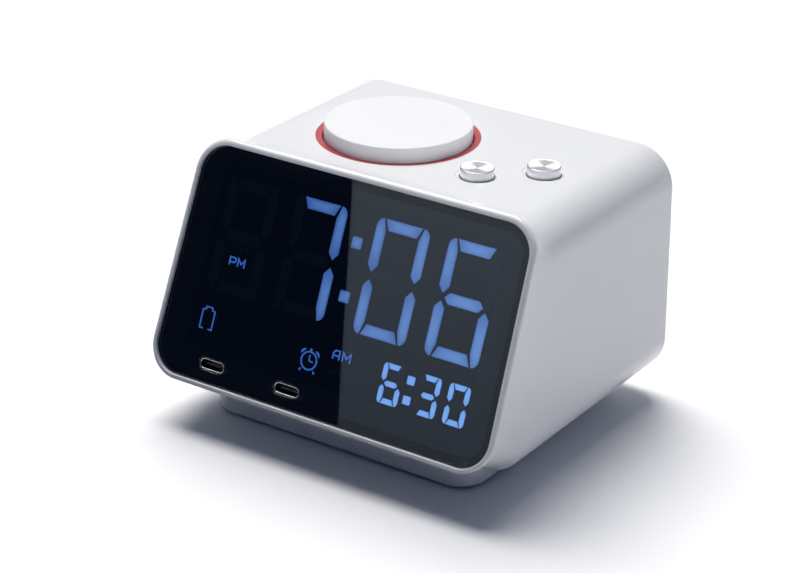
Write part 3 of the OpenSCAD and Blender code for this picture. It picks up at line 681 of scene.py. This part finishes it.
def top_cutters():
    """Cutters for the ring's hole, the two key holes with their dishes, and the way to the backup cell."""
    ring = middle("snooze_ring")
    ring_r, bevel = 25.05, 0.14
    low, high = BODY_TOP - 8, BODY_TOP + 5
    profile = [(0, low, 0), (ring_r, low, 0), (ring_r, BODY_TOP - 0.12, 0),
               (ring_r + bevel, BODY_TOP + 0.04, 0), (ring_r + bevel, high, 0), (0, high, 0)]
    cutters = [lathe("ring_hole", profile, (ring.x, ring.y, 0), segments=240)]
    profile = [(0, low, 0), (KEY_HOLE_R, low, 0), (KEY_HOLE_R, BODY_TOP - 0.55, 0.15),
               (6.1, BODY_TOP - 0.32, 0.9), (DISH_R, BODY_TOP + 0.02, 0.2), (DISH_R, high, 0), (0, high, 0)]
    for side in ("left", "right"):
        key = middle(side + "_key_cap")
        cutters.append(lathe(side + "_hole", profile, (key.x, key.y, 0), segments=120))
    cell = middle("backup_cell")
    cutters.append(rod(cell.x, cell.y, BODY_LOW - PAST, BODY_LOW + 4, 11.4, 96))
    return cutters


# ---------- lens and display ----------


def lens():
    """Smoked lens with rounded edges and two slots for the sockets."""
    rings = []
    edge = 0.3
    for a in angles(90, 6):
        rings.append(lens_ring(edge * (1 - math.sin(a)), edge * (1 - math.cos(a))))
    rings += [lens_ring(0, LENS_THICK - 0.1), lens_ring(0.1, LENS_THICK)]
    plate = loft("front_lens_plate", rings)
    # How much wider than the socket's opening the slot is, at each depth
    levels = [(0.5, -PAST), (0.5, -0.02), (0.28, 0.05), (0.12, 0.16), (0, 0.34), (0, LENS_THICK + PAST)]
    slots = []
    for x in port_places():
        rings = [on_lens_ring(stadium(x, PORT_V, PORT_W + grow, PORT_H + grow), depth)
                 for grow, depth in levels]
        slots.append(loft("slot", rings))
    carve(plate, join("slots", slots))
    dress(plate, LOOKS["smoked_lens"], nodes=("front_lens",))


def port_places():
    return [middle("usb_shell_left").x, middle("usb_shell_right").x]


def lens_print():
    """Black print on the back of the lens, with a window for the display and two for the sockets."""
    half = box_mm("lcd_glass")[1].x - 0.6
    low, high = -25.8, 29.8
    depths = (LENS_THICK + 0.005, LENS_THICK + 0.055)
    cut_depths = (1, 4)
    plate = loft("lens_print", [lens_ring(0.4, depth) for depth in depths])
    windows = [rounded_box(-half, half, low, high, 1.2, 12)]
    windows += [stadium(x, PORT_V, PORT_W, PORT_H) for x in port_places()]
    cutters = [loft("window", [on_lens_ring(window, depth) for depth in cut_depths]) for window in windows]
    carve(plate, join("windows", cutters))
    dress(plate, LOOKS["tape"], weigh=False)


def slabs(name, polygons, inner=0.0):
    """Thin plates in the lens plane, one for each outline.

    With inner above 0, each has a core that is drawn in by that share, so that its light can fade towards its
    edges.
    """
    points, faces, cores = [], [], []
    for outline_2d in polygons:
        base, count = len(points), len(outline_2d)
        points += [on_lens(x, v, SEGMENT_BACK) for x, v in outline_2d]
        points += [on_lens(x, v, SEGMENT_FRONT) for x, v in outline_2d]
        rings = 2
        if inner > 0:
            cx = sum(x for x, v in outline_2d) / count
            cv = sum(v for x, v in outline_2d) / count
            drawn = [(lerp(x, cx, inner), lerp(v, cv, inner)) for x, v in outline_2d]
            cores += range(len(points), len(points) + count)
            points += [on_lens(x, v, SEGMENT_FRONT) for x, v in drawn]
            rings = 3
        faces += [tuple(base + i for i in f) for f in loft_faces(count, rings, False)]
    obj = add_object(name, points, faces)
    shares = obj.data.attributes.new(CORE, "FLOAT", "POINT")
    for i in cores:
        shares.data[i].value = 1.0
    return obj


def quarter(rx, ry):
    """Outer corner of an upright bar: from its side up to its top."""
    return [(rx - rx * math.cos(a), -ry + ry * math.sin(a)) for a in angles(90, 6)]


def top_bar(w, t):
    return [(t * 0.85, 0), (w - t * 0.85, 0), (w - t * 1.3, -t), (t * 1.3, -t)]


def side_bar(h, t):
    mid = h / 2
    return quarter(t * 0.66, t * 0.85) + [(t, -t * 1.15), (t, -mid + 0.95 * t), (0.5 * t, -mid + 0.35 * t),
                                          (0, -mid + 0.95 * t)]


def mid_bar(w, h, t):
    flat, point = 1.25 * t, 0.8 * t
    top, low, mid = -h / 2 + t / 2, -h / 2 - t / 2, -h / 2
    return [(point, mid), (flat, top), (w - flat, top), (w - point, mid), (w - flat, low), (flat, low)]


def digit(left, top, w, h, t, lit):
    """Outlines of a digit's lit bars: clockwise from the top one, then the middle one."""
    upper, side = top_bar(w, t), side_bar(h, t)
    bars = [upper, [(w - x, y) for x, y in side], [(w - x, -h - y) for x, y in side],
            [(x, -h - y) for x, y in upper], [(x, -h - y) for x, y in side], side, mid_bar(w, h, t)]
    return [[(left + x, top + y) for x, y in bar] for bar, on in zip(bars, lit) if on == "1"]


def rounded_square(x, v, size, r):
    return rounded_box(x, x + size, v, v + size, r, 5)


def stroke(path, width):
    """Outline of a line of even width through the path's points, with mitred corners."""
    left, right = [], []
    path = [Vector(p) for p in path]
    for i, here in enumerate(path):
        before = (here - path[i - 1]).normalized() if i else (path[1] - here).normalized()
        after = (path[i + 1] - here).normalized() if i < len(path) - 1 else before
        normal = Vector((-before.y - after.y, before.x + after.x)).normalized()
        reach = width / 2 / max(0.4, normal.dot(Vector((-before.y, before.x))))
        left.append(tuple(here + normal * reach))
        right.append(tuple(here - normal * reach))
    return left + right[::-1]


def letters(text, x, v, size):
    """Strokes of the marks for before and after noon."""
    shapes = {
        "A": [[(0, 0), (0, 0.72), (0.24, 1), (0.82, 1), (0.82, 0)], [(0, 0.42), (0.82, 0.42)]],
        "P": [[(0, 0), (0, 1), (0.72, 1), (0.88, 0.84), (0.88, 0.56), (0.72, 0.4), (0, 0.4)]],
        "M": [[(0, 0), (0, 1), (0.5, 0.38), (1, 1), (1, 0)]],
    }
    outlines = []
    for letter in text:
        for path in shapes[letter]:
            outlines.append(stroke([(x + px * size, v + pv * size) for px, pv in path], LINE))
        x += size * 1.27
    return outlines


def fan(cx, cy, r, start, sweep):
    """A slice of a disc, closed by a straight edge."""
    steps = 12
    turns = [math.radians(start + sweep * i / steps) for i in range(steps + 1)]
    return [(cx + r * math.cos(a), cy + r * math.sin(a)) for a in turns]


def clock_marks(x, v):
    """The alarm mark: hands, two bells, a knob and two feet."""
    shapes = [stroke([(x, v + 1.75), (x, v), (x + 1.5, v - 0.25)], 0.36), fan(x, v + 3.25, 0.42, 0, 360)]
    for side in (-1, 1):
        lean = 45 if side > 0 else 135
        shapes.append(fan(x + side * 1.95, v + 1.95, 1.3, lean - 62, 124))
        foot = Vector((side * 0.62, -0.78))
        across = Vector((side * 0.5, 0.4))
        tip = Vector((x, v)) + foot * 3.2
        toe = Vector((x, v)) + foot * 4.3
        shapes.append([tuple(tip), tuple(toe + across * 0.6), tuple(toe - across * 0.6)])
    return shapes


def ring_plate(name, x, v, inner, outer):
    """Thin flat ring in the lens plane."""
    steps = 48

    def circle(r, depth):
        turns = [2 * math.pi * i / steps for i in range(steps)]
        return [on_lens(x + r * math.cos(a), v + r * math.sin(a), depth) for a in turns]

    rings = [circle(inner, SEGMENT_FRONT), circle(outer, SEGMENT_FRONT),
             circle(outer, SEGMENT_BACK), circle(inner, SEGMENT_BACK)]
    return loft(name, rings, wrap=True)


def battery(x, v):
    """The battery mark, open underneath."""
    return [stroke([(x + 1.35, v), (x + 0.1, v), (x + 0.1, v + 5.6), (x + 1.1, v + 5.75), (x + 1.25, v + 6.6),
                    (x + 3.35, v + 6.6), (x + 3.5, v + 5.75), (x + 4.5, v + 5.6), (x + 4.5, v),
                    (x + 3.25, v)],
                   0.42)]


def digit_row(lefts, lit, size):
    return [bar for left, on in zip(lefts, lit) for bar in digit(left, **size, lit=on)]


def colon(dots):
    return [rounded_square(dots["left"], v, dots["size"], dots["r"]) for v in dots["levels"]]


def unlit(lit):
    return ["".join("0" if c == "1" else "1" for c in on) for on in lit]


def display():
    """Lit digits and marks, and the unlit bars that just show beside them."""
    time = digit_row(BIG_LEFT, BIG_LIT, BIG) + colon(BIG_COLON)
    dress(slabs("time_digits", time, inner=CORE_SHARE), LOOKS["segment_glow"],
          nodes=("time_segments",), weigh=False)
    alarm = digit_row(SMALL_LEFT, SMALL_LIT, SMALL) + colon(SMALL_COLON)
    dress(slabs("alarm_digits", alarm, inner=CORE_SHARE), LOOKS["small_glow"],
          nodes=("alarm_segments",), weigh=False)
    marks = (letters("PM", -41, 0.8, 2.35) + letters("AM", 1.5, -16.8, 2.6)
             + clock_marks(ALARM_X, ALARM_V) + battery(-46.5, -19.8))
    both = [slabs("marks", marks), ring_plate("rim", ALARM_X, ALARM_V, 2.42, 2.88)]
    dress(join("display_marks", both), LOOKS["icon_glow"], nodes=("display_icons",), weigh=False)
    dark = digit_row(BIG_LEFT, unlit(BIG_LIT), BIG) + digit_row(SMALL_LEFT, unlit(SMALL_LIT), SMALL)
    dark += letters("AM", -41, 5.2, 2.35) + letters("PM", 1.5, -21.5, 2.6)
    faint = glow("unlit_segments", (0.0012, 0.003, 0.006), (0.003, 0.006, 0.011), 1.0)
    dress(slabs("unlit_segments", dark), faint, weigh=False)


# ---------- sockets ----------


def socket_shell(side, x):
    """Drawn metal shell with a rolled front edge."""
    steps = 8
    back = SHELL_START + SHELL_LONG

    def section(shrink, depth):
        return on_lens_ring(stadium(x, PORT_V, SHELL_W - 2 * shrink, SHELL_H - 2 * shrink), depth)

    rings = []
    for a in angles(180, steps):
        rings.append(section(SHELL_WALL * (1 - math.cos(a)) / 2, SHELL_START + 0.15 * (1 - math.sin(a))))
    rings += [section(SHELL_WALL, back), section(0, back)]
    shell = loft("socket_shell_" + side, rings, wrap=True)
    dress(shell, LOOKS["bright_metal"], nodes=("usb_shell_" + side,))


def socket_tongue(x):
    """The tongue with its rounded front end, and the block that closes the shell behind it."""
    half_w, half_h = 3.34, 0.35
    sections = [(0.18, 1.75), (0, 1.95), (0, 8.3)]
    rings = []
    for inset, depth in sections:
        w, h = half_w - inset, half_h - inset
        rings.append(on_lens_ring(rounded_box(x - w, x + w, PORT_V - h, PORT_V + h, 0.1, 4), depth))
    back = SHELL_START + SHELL_LONG - 0.3
    plug = stadium(x, PORT_V, 8.2, 2.5)
    return [loft("tongue", rings), loft("plug", [on_lens_ring(plug, depth) for depth in (back - 1.4, back)])]


def contact_strips(x):
    """Twelve strips on each face of the tongue."""
    strips = []
    pitch, wide, half_thick = 0.5, 0.28, 0.02
    for i in range(12):
        for face in (-1, 1):
            left = x - 3.0 + i * pitch
            v = PORT_V + face * 0.355
            strip = rounded_box(left, left + wide, v - half_thick, v + half_thick, 0.01, 2)
            strips.append(loft("strip", [on_lens_ring(strip, depth) for depth in (2.3, 7.6)]))
    return strips


def sockets():
    for side, x in zip(("left", "right"), port_places()):
        socket_shell(side, x)
    tongues = [piece for x in port_places() for piece in socket_tongue(x)]
    strips = [strip for x in port_places() for strip in contact_strips(x)]
    dress(join("socket_tongues", tongues), LOOKS["black_plastic"], nodes=("usb_tongues",))
    dress(join("socket_contacts", strips), LOOKS["contact_brass"], weigh=False)


# ---------- top controls ----------


def snooze_ring():
    low, high = box_mm("snooze_ring")
    centre = middle("snooze_ring")
    flange = (high.x - low.x) / 2
    outer = flange - RING_FLANGE
    inner = outer - RING_WIDTH
    shoulder = BODY_TOP - WALL - 0.1
    corners = [(inner, high.z, 0.14), (outer, high.z, 0.12), (outer, shoulder, 0), (flange, shoulder, 0.2),
               (flange, low.z, 0.3), (inner, low.z, 0.1)]
    ring = lathe("red_ring", corners, (centre.x, centre.y, 0), closed=True, segments=240)
    dress(ring, LOOKS["red_trim"], nodes=("snooze_ring",))


def snooze_button():
    low, high = box_mm("snooze_button")
    centre = middle("snooze_button")
    flange = (high.x - low.x) / 2
    radius = flange - 1.5
    skirt = radius - 1.6
    flange_top = box_mm("snooze_ring")[0].z - SLIP
    flange_low = flange_top - FLANGE_THICK
    key_top = box_mm("key_board")[1].z
    spring_top = box_mm("snooze_spring")[1].z
    ceiling = high.z - 1.8
    post_low = key_top + SWITCH_HIGH + 1.5
    corners = [(0, high.z, 0), (radius * 0.5, high.z, 0), (radius, high.z, 0.5), (radius, flange_top, 0),
               (flange, flange_top, 0.2), (flange, flange_low, 0.2), (skirt, flange_low, 0.1),
               (skirt, ceiling, 0.4), (6.4, ceiling, 0.4), (6.4, spring_top, 0.1), (5.2, spring_top, 0.1),
               (5.2, spring_top + 2, 0), (2.6, spring_top + 2, 0), (2.6, post_low, 0.2),
               (PLUNGER_R, post_low, 0), (PLUNGER_R, low.z, 0.25), (0, low.z, 0)]
    button = lathe("snooze_disc", corners, (centre.x, centre.y, 0), segments=240)
    dress(button, LOOKS["matte_white"], "snooze", ("snooze_button",))


def spring():
    """Coil under the snooze button, built at its rest length; in the clock it shortens as the button goes
    down.
    """
    low, high = box_mm("snooze_spring")
    centre = middle("snooze_spring")
    wire = 0.35
    mean = (high.x - low.x) / 2 - wire
    turns, per_turn, sides = 4, 40, 10
    rise = high.z - low.z - 2 * wire
    around = [2 * math.pi * k / sides for k in range(sides)]
    rings = []
    for i in range(turns * per_turn + 1):
        a = -2 * math.pi * i / per_turn
        z = low.z + wire + rise * i / (turns * per_turn)
        section = [(mean + wire * math.cos(b), z + wire * math.sin(b)) for b in around]
        rings.append([(reach * math.cos(a), reach * math.sin(a), level) for reach, level in section])
    coil = loft("button_spring", rings, origin=(centre.x, centre.y, 0))
    dress(coil, LOOKS["spring_steel"], nodes=("snooze_spring",), sharp=60)
    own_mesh(coil)


def key_caps():
    for side in ("left", "right"):
        low, high = box_mm(side + "_key_cap")
        centre = middle(side + "_key_cap")
        r = (high.x - low.x) / 2
        inner, ceiling = r - 0.5, high.z - CAP_THICK
        corners = [(0, high.z - 0.3, 0), (inner, high.z - 0.05, 0.1), (r - 0.3, high.z, 0.1),
                   (r, high.z - 0.2, 0.12), (r, low.z, 0), (inner, low.z, 0), (inner, ceiling, 0),
                   (0, ceiling, 0)]
        cap = lathe(side + "_cap", corners, (centre.x, centre.y, 0), segments=144)
        dress(cap, LOOKS["spun_metal"], side + "_key", (side + "_key_cap",), sharp=40)


# ---------- plinth and feet ----------


def stepped_hole(place, wide, narrow, step, top, segments):
    """Cutter for a hole up from the table: wide as far as the step, and narrow above it."""
    corners = [(0, 0, 0), (wide, 0, 0), (wide, step, 0), (narrow, step, 0), (narrow, top, 0), (0, top, 0)]
    return lathe("hole", corners, (place.x, place.y, 0), segments=segments)


def plinth():
    """Tray under the body, with posts for its screws and a well for the backup cell."""
    low, high = plinth_low, plinth_high
    corner, edge, wall, steps = 9, 1.2, 2, 7
    brim_rise, brim_end, brim_run = 4, 7, 6
    top = 9

    def ring(inset, z):
        x0, x1, y0, y1 = low.x + inset, high.x - inset, low.y + inset, high.y - inset
        return [(x, y, z) for x, y in rounded_box(x0, x1, y0, y1, corner - inset, 18)]

    def brim(inset):
        """The tray's upper edge, which rises at the front towards the body's sloping underside."""
        reach = low.y + brim_end
        return [(x, y, z + brim_rise * min(1, max(0, (reach - y) / brim_run)))
                for x, y, z in ring(inset, high.z)]

    rings = []
    for a in angles(90, steps):
        rings.append(ring(edge * (1 - math.sin(a)), low.z + edge * (1 - math.cos(a))))
    rings += [brim(0), brim(wall), ring(wall, low.z + wall)]
    base = loft("plinth_tray", rings)
    cell = middle("backup_cell")
    screws = screw_places("base_screws", 4)
    posts = [rod(p.x, p.y, low.z + 1.5, high.z, 4.6) for p in screws]
    posts.append(rod(cell.x, cell.y, low.z + 1.5, high.z, 14, 96))
    carve(base, join("posts", posts), "UNION")
    cutters = [stepped_hole(p, 2.7, 1.4, low.z + 2.2, top, 48) for p in screws]
    cutters += [rod(p.x, p.y, 0, low.z + 0.6, 5.1, 64) for p in screw_places("rubber_feet", 4)]
    cutters.append(stepped_hole(cell, 12.3, 10.6, low.z + 1.5, top, 96))
    carve(base, join("holes", cutters))
    dress(base, LOOKS["gloss_white"], nodes=("base_plinth",), sharp=28)


def feet():
    low, high = box_mm("rubber_feet")
    radius = 5
    corners = [(0, low.z, 0), (radius, low.z, 0.4), (radius, high.z, 0.1), (0, high.z, 0)]
    made = [lathe("foot", corners, (p.x, p.y, 0), segments=72) for p in screw_places("rubber_feet", 4)]
    dress(join("foot_pads", made), LOOKS["foot_rubber"], nodes=("rubber_feet",))


def battery_door():
    """Round door with a slot for a coin."""
    low, high = box_mm("battery_door")
    centre = middle("battery_door")
    r = (high.x - low.x) / 2
    door = lathe("cell_hatch", [(0, low.z, 0), (r, low.z, 0.3), (r, high.z, 0.1), (0, high.z, 0)],
                 (centre.x, centre.y, 0), segments=120)
    slit = rounded_box(-6, 6, -0.9, 0.9, 0.88, 8)
    slot = loft("coin_slot", [[(centre.x + x, centre.y + y, z) for x, y in slit]
                              for z in (low.z - PAST, low.z + 0.6)])
    carve(door, slot)
    dress(door, LOOKS["gloss_white"], "cell_door", ("battery_door",))


# ---------- rear ----------


def cover_hole(x, z, corners, segments):
    """Cutter through the rear cover, from corners (r, y, radius) between its two ends."""
    first, last = corners[0][0], corners[-1][0]
    inside, outside = COVER_FRONT - PAST, COVER_BACK + PAST
    profile = [(0, inside, 0), (first, inside, 0)] + corners + [(last, outside, 0), (0, outside, 0)]
    return lathe("hole", profile, (x, 0, z), axis="Y", segments=segments)


def rear_cover():
    """Cover with holes for the inlet, the four keys, its screws and the speaker."""
    inset, edge, steps = REAR_REBATE + 0.1, 0.5, 5
    rings = [upright_ring(inset, COVER_FRONT)]
    for a in angles(90, steps):
        rings.append(upright_ring(inset + edge * (1 - math.cos(a)), COVER_BACK - edge * (1 - math.sin(a))))
    cover = loft("rear_panel", rings)
    inlet = middle("inlet_pin")
    cutters = [rod_y(inlet.x, inlet.z, COVER_FRONT - PAST, COVER_BACK + PAST, 4.1)]
    for i in range(1, 5):
        key = middle(f"rear_key_{i}")
        edge = [(3.75, COVER_BACK - 0.35, 0), (4.1, COVER_BACK + 0.02, 0)]
        cutters.append(cover_hole(key.x, key.z, edge, 64))
    seat = COVER_BACK - 1.5
    for p in screw_places("rear_screws", 4):
        cutters.append(cover_hole(p.x, p.z, [(1.4, seat, 0), (2.6, seat, 0)], 48))
    cutters += sound_holes()
    carve(cover, join("holes", cutters))
    dress(cover, LOOKS["gloss_white"], nodes=("rear_cover",), sharp=28)


def sound_holes():
    """Holes on a triangular grid, inside a circle over the speaker."""
    speaker = middle("speaker_magnet")
    step, field, row_share = 3.9, 15, 0.866
    edge = [(1.1, COVER_BACK - 0.2, 0), (1.3, COVER_BACK + 0.01, 0)]
    holes = []
    for i in range(-4, 5):
        for j in range(-4, 5):
            x = (i + (0.5 if j % 2 else 0)) * step
            z = j * step * row_share
            if x * x + z * z <= field * field:
                holes.append(cover_hole(speaker.x + x, speaker.z + z, edge, 28))
    return holes


def rear_keys():
    for i in range(1, 5):
        node = f"rear_key_{i}"
        low, high = box_mm(node)
        centre = middle(node)
        flange = (high.x - low.x) / 2
        r = flange - 1.2
        flange_back = COVER_FRONT - SLIP
        flange_front = flange_back - 1
        corners = [(0, low.y, 0), (PLUNGER_R, low.y, 0.2), (PLUNGER_R, flange_front, 0),
                   (flange, flange_front, 0.15), (flange, flange_back, 0.15), (r, flange_back, 0),
                   (r, high.y, 0.35), (r * 0.8, high.y, 0.3), (0, high.y - 0.25, 0)]
        key = lathe(f"set_button_{i}", corners, (centre.x, 0, centre.z), axis="Y", segments=96)
        dress(key, LOOKS["key_plastic"], f"set_key_{i}", (node,), sharp=40)


# ---------- everything else keeps its CAD shape ----------


def inner_parts():
    """Gives each node that is still shown the material of its slot."""
    for row in frame["record"]["subparts"]:
        part = frame["nodes"][row["node"]]
        if not part.hide_render:
            part.data.materials.clear()
            part.data.materials.append(LOOKS[row["material_slot"]])


# ---------- stage, light and camera ----------

LENS_CENTRE = Vector((0, LENS_Y, LENS_Z))
CAMERA_AZIMUTH = math.radians(33.47)
CAMERA_ELEVATION = math.radians(24.46)
CAMERA_ROLL = math.radians(1.11)
CAMERA_PLACE = LENS_CENTRE + Vector((369.4, -526.43, 297.31))
FOCAL_LENGTH = 110.63
SENSOR_WIDTH = 36


def camera():
    data = bpy.data.cameras.new("camera")
    data.sensor_width = SENSOR_WIDTH
    data.lens = FOCAL_LENGTH
    data.clip_start, data.clip_end = 0.05, 20
    cam = bpy.data.objects.new("camera", data)
    cam.location = CAMERA_PLACE * MM
    turn = Matrix.Rotation(CAMERA_AZIMUTH, 4, "Z") @ Matrix.Rotation(math.pi / 2 - CAMERA_ELEVATION, 4, "X")
    cam.rotation_mode = "QUATERNION"
    cam.rotation_quaternion = (turn @ Matrix.Rotation(CAMERA_ROLL, 4, "Z")).to_quaternion()
    bpy.context.scene.collection.objects.link(cam)
    bpy.context.scene.camera = cam


def floor():
    half = 4000
    corners = [(-half, -half, 0), (half, -half, 0), (half, half, 0), (-half, half, 0)]
    plane = add_object("floor", corners, [(0, 1, 2, 3)])
    look = Look("floor", (0.94, 0.94, 0.945), 0.9)
    look.vary_colour(300, 0.004)
    look.set(Specular_IOR_Level=0.1)
    plane.data.materials.append(look.material)


def reflected_card(name, corners, low, high, strength):
    """An unlit card that only shows in reflections. It is brighter towards its top."""
    card = add_object(name, corners, [(0, 1, 2, 3)])
    look = Look(name, (0, 0, 0), 1)
    height = look.nodes.new("ShaderNodeSeparateXYZ")
    look.links.new(look.place, height.inputs["Vector"])
    levels = [corner[2] * MM for corner in corners]
    shade = look.remap(height.outputs["Z"], 0, 1, min(levels), max(levels))
    look.mix(shade, low, high, "Emission Color")
    look.set(Emission_Strength=strength)
    card.data.materials.append(look.material)
    card.visible_camera = False
    card.visible_diffuse = False
    card.visible_shadow = False


def cards():
    """Two cards that the clock mirrors.

    The left edge of the front one divides the lens's reflection, and the rear one lights the metal caps.
    """
    normal = Vector((0, -math.cos(TILT), math.sin(TILT)))
    mirrored = CAMERA_PLACE - 2 * (CAMERA_PLACE - LENS_CENTRE).dot(normal) * normal
    far = 2.2

    def beyond(x, v):
        point = Vector(on_lens(x, v, 0))
        return tuple(mirrored + (point - mirrored) * far)

    reflected_card("front_card", [beyond(11, -42), beyond(80, -42), beyond(80, 41), beyond(-5.7, 41)],
                   (0.42, 0.52, 0.66), (0.72, 0.86, 1.0), 1.0)
    left, right, behind, low, high = -1200, 700, 900, 60, 1000
    reflected_card("rear_card", [(left, behind, low), (right, behind, low), (right, behind, high),
                                 (left, behind, high)],
                   (0.8, 0.8, 0.82), (1.0, 1.0, 1.0), 0.62)


def flag():
    """A dark card on the floor in front of the clock.

    It only keeps the floor's light off the clock's underside. Its own underside is clear, so the floor below
    it is lit as if it weren't there.
    """
    near, far, left, right, level = plinth_low.y - 4, plinth_low.y - 300, -150, 66, 0.3
    corners = [(left, far, level), (right, far, level), (right, near, level), (left, near, level)]
    card = add_object("flag", corners, [(0, 1, 2, 3)])
    look = Look("flag", (0.10, 0.10, 0.105), 1.0)
    look.vary_colour(200, 0.05)
    clear = look.nodes.new("ShaderNodeBsdfTransparent")
    side = look.nodes.new("ShaderNodeNewGeometry")
    pick = look.nodes.new("ShaderNodeMixShader")
    out = next(node for node in look.nodes if node.type == "OUTPUT_MATERIAL")
    front = out.inputs["Surface"].links[0].from_socket
    look.links.new(side.outputs["Backfacing"], pick.inputs["Fac"])
    look.links.new(front, pick.inputs[1])
    look.links.new(clear.outputs["BSDF"], pick.inputs[2])
    look.links.new(pick.outputs["Shader"], out.inputs["Surface"])
    card.data.materials.append(look.material)
    card.visible_camera = False
    card.visible_shadow = False
    card.visible_glossy = False
    card.visible_transmission = False


def sun(name, azimuth, elevation, strength, angle, colour):
    """A soft light from a direction given as a compass angle from -Y towards +X, and a height."""
    data = bpy.data.lights.new(name, "SUN")
    data.energy = strength
    data.angle = math.radians(angle)
    data.color = colour
    obj = bpy.data.objects.new(name, data)
    a, e = math.radians(azimuth), math.radians(elevation)
    away = Vector((math.sin(a) * math.cos(e), -math.cos(a) * math.cos(e), math.sin(e)))
    obj.rotation_mode = "QUATERNION"
    obj.rotation_quaternion = away.to_track_quat("Z", "Y")
    bpy.context.scene.collection.objects.link(obj)
    return obj


def lights():
    """A soft light from behind and above, a fainter one overhead, and one for the top controls only."""
    sun("key", 227, 63, 3.55, 42, (1.0, 0.98, 0.95))
    sun("dome", 250, 80, 0.25, 90, (1.0, 0.99, 0.98))
    front = sun("front", 62, 3, 1.7, 40, (0.97, 0.985, 1.0))
    lit = bpy.data.collections.new("lit_by_front")
    for name in ("snooze_disc", "red_ring", "left_cap", "right_cap"):
        lit.objects.link(bpy.data.objects[name])
    front.light_linking.receiver_collection = lit
    world = bpy.data.worlds.new("world")
    world.use_nodes = True
    fill(world.node_tree.nodes["Background"], Color=(0.20, 0.42, 1.0, 1), Strength=0.1)
    bpy.context.scene.world = world
    bpy.context.scene.view_settings.view_transform = "Standard"


housing()
lens()
lens_print()
display()
sockets()
snooze_ring()
snooze_button()
spring()
key_caps()
plinth()
feet()
battery_door()
rear_cover()
rear_keys()
inner_parts()
camera()
floor()
cards()
flag()
lights()
